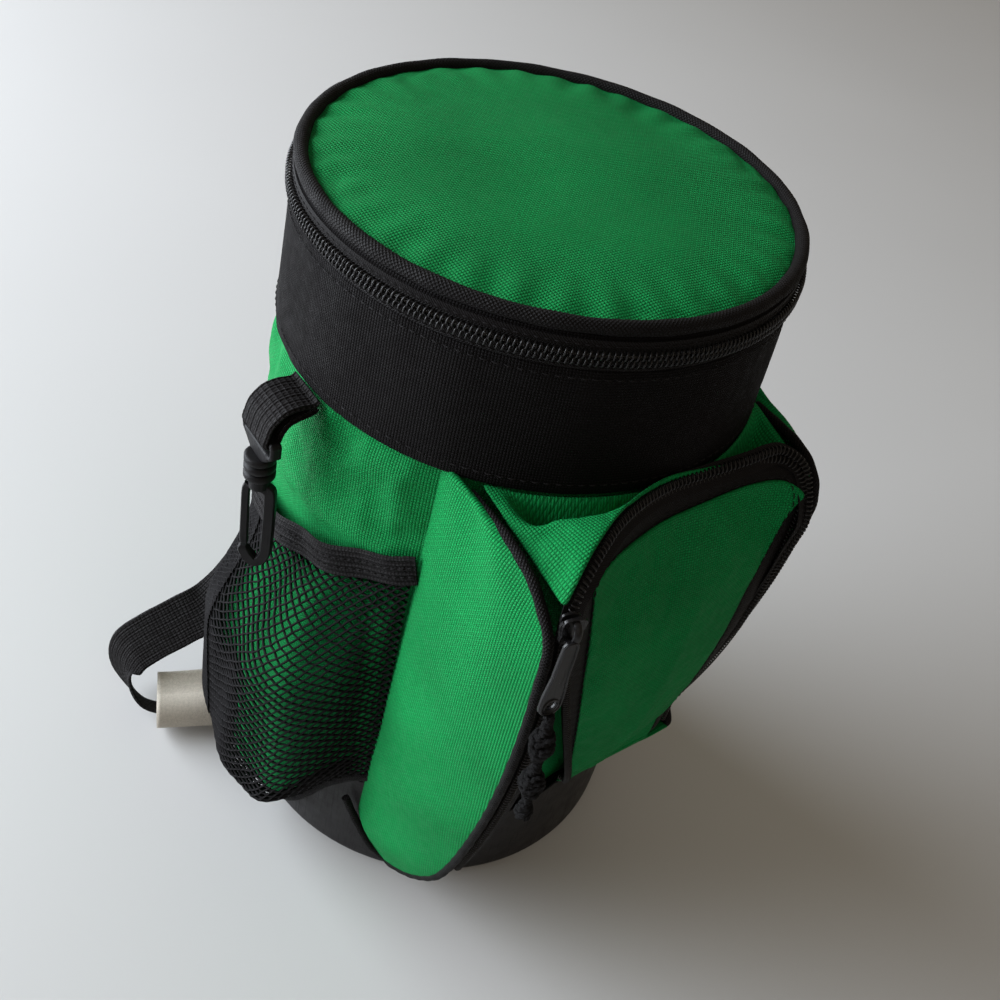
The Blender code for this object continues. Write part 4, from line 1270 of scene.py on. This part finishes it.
def mesh_low(degrees):
    """Lower edge of the side pocket, which rises towards its front seam."""
    share = mesh_share(degrees)
    dip = 0.0105 * np.sin(math.pi * np.clip((share - 0.2) / 0.6, 0, 1))
    return 0.0220 - dip + 0.0400 * (1 - ease(share, 0, 0.42))


def mesh_radius(degrees, height):
    """How far the side pocket stands out: drawn in along its top, full lower down, closed at the bottom."""
    share = mesh_share(degrees)
    round_the_bag = ease(share, 0, 0.36) * (1 - ease(share, 0.86, 1))
    below_top = 0.12 + 0.88 * ease(mesh_top(degrees) - height, 0, 0.060)
    above_low = ease(height - mesh_low(degrees), -0.004, 0.016)
    fold = 0.0009 * np.sin(share * 23 + height * 40) * np.sin(math.pi * share) * above_low
    return NET_R + fold + 0.0190 * round_the_bag * below_top * above_low


def net(name, start, end, tall, pitch, thread, lift, replaced=()):
    """Net of thin threads crossing in diamonds between two angles, over a share of the pocket's height."""
    cols = max(2, round(abs(math.radians(end - start)) * 0.096 / pitch))
    rows = max(4, 2 * round(0.130 * tall / (pitch * 0.95)))
    rng = np.random.default_rng(cols * rows)
    points, index = [], {}
    for j in range(rows + 1):
        for i in range(cols + 1):
            u = (i + 0.5 * (j % 2)) / cols
            if u <= 1.0001:
                index[i, j] = len(points)
                inner = 0 < j < rows and 0 < u < 1
                degrees = start + (end - start) * u + inner * rng.normal(0, 0.14)
                low = float(mesh_low(degrees))
                height = low + (float(mesh_top(degrees)) - low) * tall * j / rows
                height += inner * rng.normal(0, 0.00022)
                points.append(polar(degrees, float(mesh_radius(degrees, height)) + lift, height))
    faces = []
    for j in range(rows - 1):
        for i in range(cols + 1):
            left, right = (i - 1, i) if j % 2 == 0 else (i, i + 1)
            ring = [(i, j), (right, j + 1), (i, j + 2), (left, j + 1)]
            if all(key in index for key in ring):
                faces.append([index[key] for key in ring])
    used = sorted({k for face in faces for k in face})
    remap = {old: new for new, old in enumerate(used)}
    faces = [[remap[k] for k in face] for face in faces]
    piece = mesh_piece(name, [points[k] for k in used], faces)
    wire = piece.modifiers.new("threads", "WIREFRAME")
    wire.thickness = thread
    wire.use_even_offset = False
    return finish(piece, "mesh", "root", replaced)


def side_pocket():
    """Net pocket with its ribbed elastic, dense rear strip, folded bottom and the green cloth behind it."""
    first, last = MESH_DEG
    net("mesh_pocket_net", first, STRIP_DEG, 1.0, 0.0044, 0.00120, 0.0, ["mesh_pocket"])
    net("mesh_pocket_fold", first - 6, STRIP_DEG, 0.13, 0.0031, 0.00095, -0.0012)
    net("mesh_rear_net", STRIP_DEG + 1.0, last, 1.0, 0.0026, 0.00105, 0.0004, ["mesh_rear_strip"])
    net("mesh_rear_lining", STRIP_DEG + 1.0, last, 0.98, 0.0022, 0.00095, -0.0008)
    degrees = np.linspace(first + 0.5, last - 0.5, 90)
    path = polar(degrees, mesh_radius(degrees, MESH_TOP) + 0.0002, mesh_top(degrees) + 0.0050)
    path += outward(path) * (0.0004 * np.sin(np.radians(degrees * 24)))[:, None]
    across, up = sides_of(path, outward(path))
    band = sweep_mesh(path, across, up, ribbon_section(0.0122, 0.0012, 6, 0.0007))
    built("mesh_elastic_band", [band], "elastic", "root", ["mesh_elastic"])
    seam = path - across * 0.0018
    rows = [stitches(line + up * 0.0008, up, 0.0018, 0.0010) for line in (seam, path + across * 0.0018)]
    built("elastic_stitching", rows, "thread", "root")
    degrees = np.linspace(first - 2.5, last + 1, 60)
    angle, level = np.meshgrid(degrees, np.linspace(0, 1, 40))
    low = mesh_low(angle) - 0.0030
    height = low + np.maximum(mesh_top(angle) - 0.004 - low, 0.0004) * level
    crease = 0.0010 * np.sin(np.radians(angle * 23)) * ease(level, 0.05, 0.4) * (1 - ease(level, 0.8, 1))
    filled = 0.62 * (mesh_radius(angle, height) - NET_R) * (1 - ease(level, 0.88, 1.0))
    radius = BASE_R + 0.0011 + crease + np.maximum(filled, 0)
    back = grid_piece("mesh_pocket_backing", polar(angle, radius, height))
    finish(thicken(back, 0.0006, 0), "green", "root")
    degrees = np.linspace(first - 1, last, 60)
    low = mesh_low(degrees)
    bind = polar(degrees, mesh_radius(degrees, low) - 0.0004, low - 0.0012)
    strip = rod(bind, 0.0021, outward(bind), 10, flat=0.0011)
    built("mesh_pocket_binding", [strip], "bound", "root")


# ---------------------------------------------------------------- snap hook and strap

def hook_place(across, height):
    """A point in the hook's own upright plane, by its distance from the swivel's axis."""
    return HOOK_X - across * math.sin(HOOK_TURN), CLIP_Y + across * math.cos(HOOK_TURN), height


def snap_hook():
    """Folded webbing, ladder frame, ribbed swivel barrel, long hook and its springy gate."""
    clip_webbing()
    clip_frame()
    clip_barrel()
    clip_hook()
    clip_gate()


def clip_webbing():
    """Webbing folded through the frame's slot, bending where it leaves the collar."""
    fold = [(-0.0834, 0.2236), (-0.0850, 0.2224), (-0.0870, 0.2224), (-0.0900, 0.2226), (-0.0945, 0.2216),
            (-0.0985, 0.2178), (-0.1000, 0.2135), (-0.1004, 0.2110), (-0.0986, 0.2096), (-0.0964, 0.2106),
            (-0.0952, 0.2140), (-0.0930, 0.2172), (-0.0895, 0.2186), (-0.0868, 0.2192), (-0.0850, 0.2198),
            (-0.0838, 0.2208)]
    path = smooth_path([(px, CLIP_Y, pz) for px, pz in fold], 6)
    across = np.broadcast_to([0, 1.0, 0], path.shape)
    up = np.cross(tangents(path), across)
    band = sweep_mesh(path, across, -up, ribbon_section(0.0166, 0.0017, 9, 0.00025))
    webbing = built("clip_webbing_loop", [band], "webbing", None, ["clip_webbing"])
    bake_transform(webbing)


def clip_frame():
    """Moulded frame, narrowed towards the swivel, with a slot for the webbing."""
    low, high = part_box("clip_frame")
    place = place_at((HOOK_X, CLIP_Y, high.z), (0, 1, 0), (0, 0, 1))
    tall = high.z - low.z
    half = [(0.0048, -tall), (0.0066, -tall * 0.86), (0.0106, -0.0056), (0.0106, -0.0012), (0.0098, 0)]
    outline = [(-y, z) for y, z in half[::-1]] + half
    half = [(0.0086, -0.0058), (0.0089, -0.0030), (0.0086, -0.0022)]
    slot = [(-y, z) for y, z in half[::-1]] + half
    plate("clip_frame_plate", outline, slot, 0.0038, 0.0009, place, "plastic", "clip_tab", ["clip_frame"])


def clip_barrel():
    """Swivel barrel with three ribs."""
    low, high = (corner.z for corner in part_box("clip_barrel"))
    outline = [(0.0002, high), (0.0040, high)]
    rib = [(0.0047, 0.0001), (0.0052, 0.0006), (0.0052, 0.0021), (0.0047, 0.0026)]
    rib += [(0.0041, 0.0028), (0.0041, 0.0032)]
    for start in (high - count * 0.0034 for count in range(3)):
        outline += [(radius, start - drop) for radius, drop in rib]
    outline += [(0.0036, low), (0.0002, low)]
    degrees = np.arange(48) * 7.5
    ring = np.stack([polar(degrees, r, z) for r, z in outline]) + np.array([HOOK_X, CLIP_Y, 0])
    barrel = grid_piece("clip_swivel_barrel", ring, closed=True, flip=True, sharp=50)
    finish(barrel, "plastic", "clip_hook", ["clip_barrel"])


def bar(corners, section, reach, swells):
    """Moulded bar along points in the hook's plane, thicker or thinner at given shares of its length."""
    path = smooth_path([hook_place(*point) for point in corners], 6)
    swell = np.interp(np.linspace(0, 1, len(path)), reach, swells)
    across, up = sides_of(path, HOOK_SQUARE)
    return sweep_mesh(path, across, up, section, swell=swell)


def clip_hook():
    """Long hook below the barrel, with its heel."""
    low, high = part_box("clip_hook")
    tip = low.z + 0.0020
    start = high.z
    half = HOOK_HALF
    line = [(0, start), (0, start - 0.0018), (-half * 0.6, start - 0.0040), (-half, start - 0.0065)]
    line += [(-half, tip + 0.012), (-half * 0.92, tip + 0.0055), (-half * 0.55, tip + 0.0018)]
    line += [(0, tip + 0.0003), (half * 0.55, tip + 0.0022), (half * 0.95, tip + 0.0050)]
    line += [(half, tip + 0.0068)]
    hook = bar(line, HOOK_SECTION, [0, 0.1, 0.6, 0.8, 0.93, 1], [1.25, 1, 0.95, 1.1, 0.95, 0.5])
    neck = np.array([hook_place(0, start - 0.0002), hook_place(0, start - 0.0034)])
    heel = rod(neck, 0.0034, HOOK_SQUARE, 16)
    built("clip_hook_body", [hook, heel], "plastic", "clip_hook", ["clip_hook"], 30)


def clip_gate():
    """Springy gate that closes the hook."""
    low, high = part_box("clip_gate")
    half = HOOK_HALF
    line = [(half * 0.75, high.z - 0.0004), (half, high.z - 0.003), (half * 1.02, high.z - 0.012),
            (half, low.z + 0.0035), (half * 0.9, low.z + 0.0003)]
    gate = bar(line, HOOK_SECTION * 0.85, [0, 0.15, 0.85, 1], [1.0, 0.75, 0.8, 0.6])
    built("clip_gate_bar", [gate], "plastic", "clip_gate", ["clip_gate"], 30)


def carrying_strap():
    """Webbing strap from the back of the collar to the base."""
    half = 0.0110
    # Angle, distance and height of its middle, half its width, and how far it leans, in degrees
    stations = [
        (LABEL_DEG, 0.0843, 0.0100, 0.0062, 32), (LABEL_DEG, 0.0860, 0.0093, 0.0062, 33),
        (LABEL_DEG, 0.1000, 0.0090, 0.0062, 35), (LABEL_DEG, 0.1160, 0.0090, 0.0066, 38),
        (-115, 0.1300, 0.0102, 0.0088, 42), (-119.5, 0.1385, 0.0170, 0.0106, 45),
        (-121, 0.1370, 0.0270, half, 48), (-122.5, 0.1280, 0.0350, half, 50),
        (-124.5, 0.1160, 0.0430, half, 50), (-128, 0.1040, 0.0520, half, 45),
        (-138, 0.0970, 0.0720, half, 22), (-154, 0.0920, 0.1150, half, 0),
        (-168, 0.0885, 0.1650, half, 0), (-180, 0.0866, 0.2185, half, 0),
        (-180.6, 0.0858, 0.2216, half, 0),
    ]
    path = smooth_path([tuple(polar(*station[:3])) for station in stations], 8)
    shape = [(width / half, math.radians(lean), 0) for *_, width, lean in stations]
    width, lean = smooth_path(shape, 8).T[:2]
    along = tangents(path)
    around = unit(np.stack([-path[:, 1], path[:, 0], 0 * path[:, 0]], 1))
    level = unit(around - along * (around * along).sum(1, keepdims=True))
    across = level * np.cos(lean)[:, None] + np.cross(along, level) * np.sin(lean)[:, None]
    up = np.cross(along, across)
    strap = sweep_mesh(path, across * width[:, None], up, ribbon_section(2 * half, 0.0014, 12, 0.00022))
    built("strap_webbing", [strap], "webbing", "strap", ["carrying_strap"])


def care_label():
    """Blank satin label curled round the strap's lower end."""
    sideways = polar(LABEL_DEG + 90, 1.0, 0.0)
    turn = np.radians(np.linspace(-90, -285, 26))
    section = [(-0.0120, 0.0030), (-0.0100, 0.0016), (-0.0070, 0.0008), (-0.0035, 0.0008)]
    section += [(-0.0082 * math.cos(t), 0.0094 + 0.0084 * math.sin(t)) for t in turn]
    section += [(-0.0056, 0.0176), (-0.0090, 0.0186), (-0.0125, 0.0200)]
    section = smooth_path([(a, b + 0.0012, 0) for a, b in section], 2)
    rows = []
    for share in np.linspace(0, 1, 22):
        reach = 0.0866 + 0.0370 * share
        sag = 0.0010 * math.sin(share * 5.0)
        raised = UPWARD * (section[:, 1:2] * (1 + sag * 30))
        rows.append(polar(LABEL_DEG, reach, 0) + sideways * section[:, :1] + raised)
    label = grid_piece("care_label_satin", np.stack(rows))
    finish(thicken(label, 0.00035, 0), "label", "strap", ["care_label"])


# ---------------------------------------------------------------- stage, light and camera

def stage():
    """Plain pale floor, the room's weak light, the camera, a large soft key from the left and a fill."""
    corners = [(x * FLOOR_HALF, y * FLOOR_HALF, -0.0006) for x, y in ((-1, -1), (1, -1), (1, 1), (-1, 1))]
    floor = mesh_piece("floor", corners, [[0, 1, 2, 3]])
    look = Look("pale_floor", 0.55)
    look.colour((0.56, 0.555, 0.55), look.patchy(0.35, 0.985, 1.015))
    look.bump(look.noise(0.004, 2), 0.0002, 0.15)
    floor.data.materials.append(look.material)
    scene = bpy.context.scene
    scene.view_settings.view_transform = "Standard"
    world = bpy.data.worlds.new("room")
    world.use_nodes = True
    background = world.node_tree.nodes["Background"]
    background.inputs["Color"].default_value = (1.0, 0.87, 0.70, 1)
    background.inputs["Strength"].default_value = 0.24
    scene.world = world
    spin = Matrix.Rotation(math.radians(CAMERA_TURN), 3, "Z")
    level = Vector((math.cos(CAMERA_YAW), -math.sin(CAMERA_YAW), 0))
    place_camera(scene, spin, level)
    side = spin @ level
    depth = spin @ Vector((0, 1, 0))
    aim = Vector((0, 0, 0.13))
    for name, place, size, power, tint in (
        ("key", aim - side * 1.60 + Vector((0, 0, 0.38)), 2.0, 108, (0.90, 0.97, 1.05)),
        ("fill", aim + side * 0.5 - depth * 1.0 + Vector((0, 0, 0.9)), 1.2, 1.0, (1.0, 0.93, 0.84)),
    ):
        lamp = bpy.data.objects.new(name, bpy.data.lights.new(name, "AREA"))
        lamp.data.shape = "DISK"
        lamp.data.size = size
        lamp.data.energy = power
        lamp.data.color = tint
        lamp.location = place
        lamp.rotation_euler = (aim - place).to_track_quat("-Z", "Y").to_euler()
        scene.collection.objects.link(lamp)


def place_camera(scene, spin, level):
    """Camera that looks down at the bag, held a little tilted to one side."""
    flat = math.cos(CAMERA_PITCH)
    forward = Vector((math.sin(CAMERA_YAW) * flat, math.cos(CAMERA_YAW) * flat, -math.sin(CAMERA_PITCH)))
    raised = level.cross(forward)
    right = math.cos(CAMERA_ROLL) * level + math.sin(CAMERA_ROLL) * raised
    up = -math.sin(CAMERA_ROLL) * level + math.cos(CAMERA_ROLL) * raised
    axes = Matrix((spin @ right, spin @ up, spin @ -forward)).transposed()
    camera = bpy.data.objects.new("camera", bpy.data.cameras.new("camera"))
    camera.matrix_world = Matrix.Translation(CAMERA_PLACE) @ axes.to_4x4()
    camera.data.lens = 41.4
    scene.collection.objects.link(camera)
    scene.camera = camera


def build():
    base()
    body_cloth()
    collar()
    lid()
    lining()
    for side, label in ((-1, "left"), (1, "right")):
        side_panel(side, f"pocket_{label}_panel")
        piping(side, f"pocket_{label}_piping")
    top_gusset()
    floor_cloth()
    pocket_zipper()
    flap()
    pocket_slider()
    knotted_cord()
    lid_slider()
    side_pocket()
    snap_hook()
    carrying_strap()
    care_label()
    stage()


build()
bpy.context.view_layer.update()
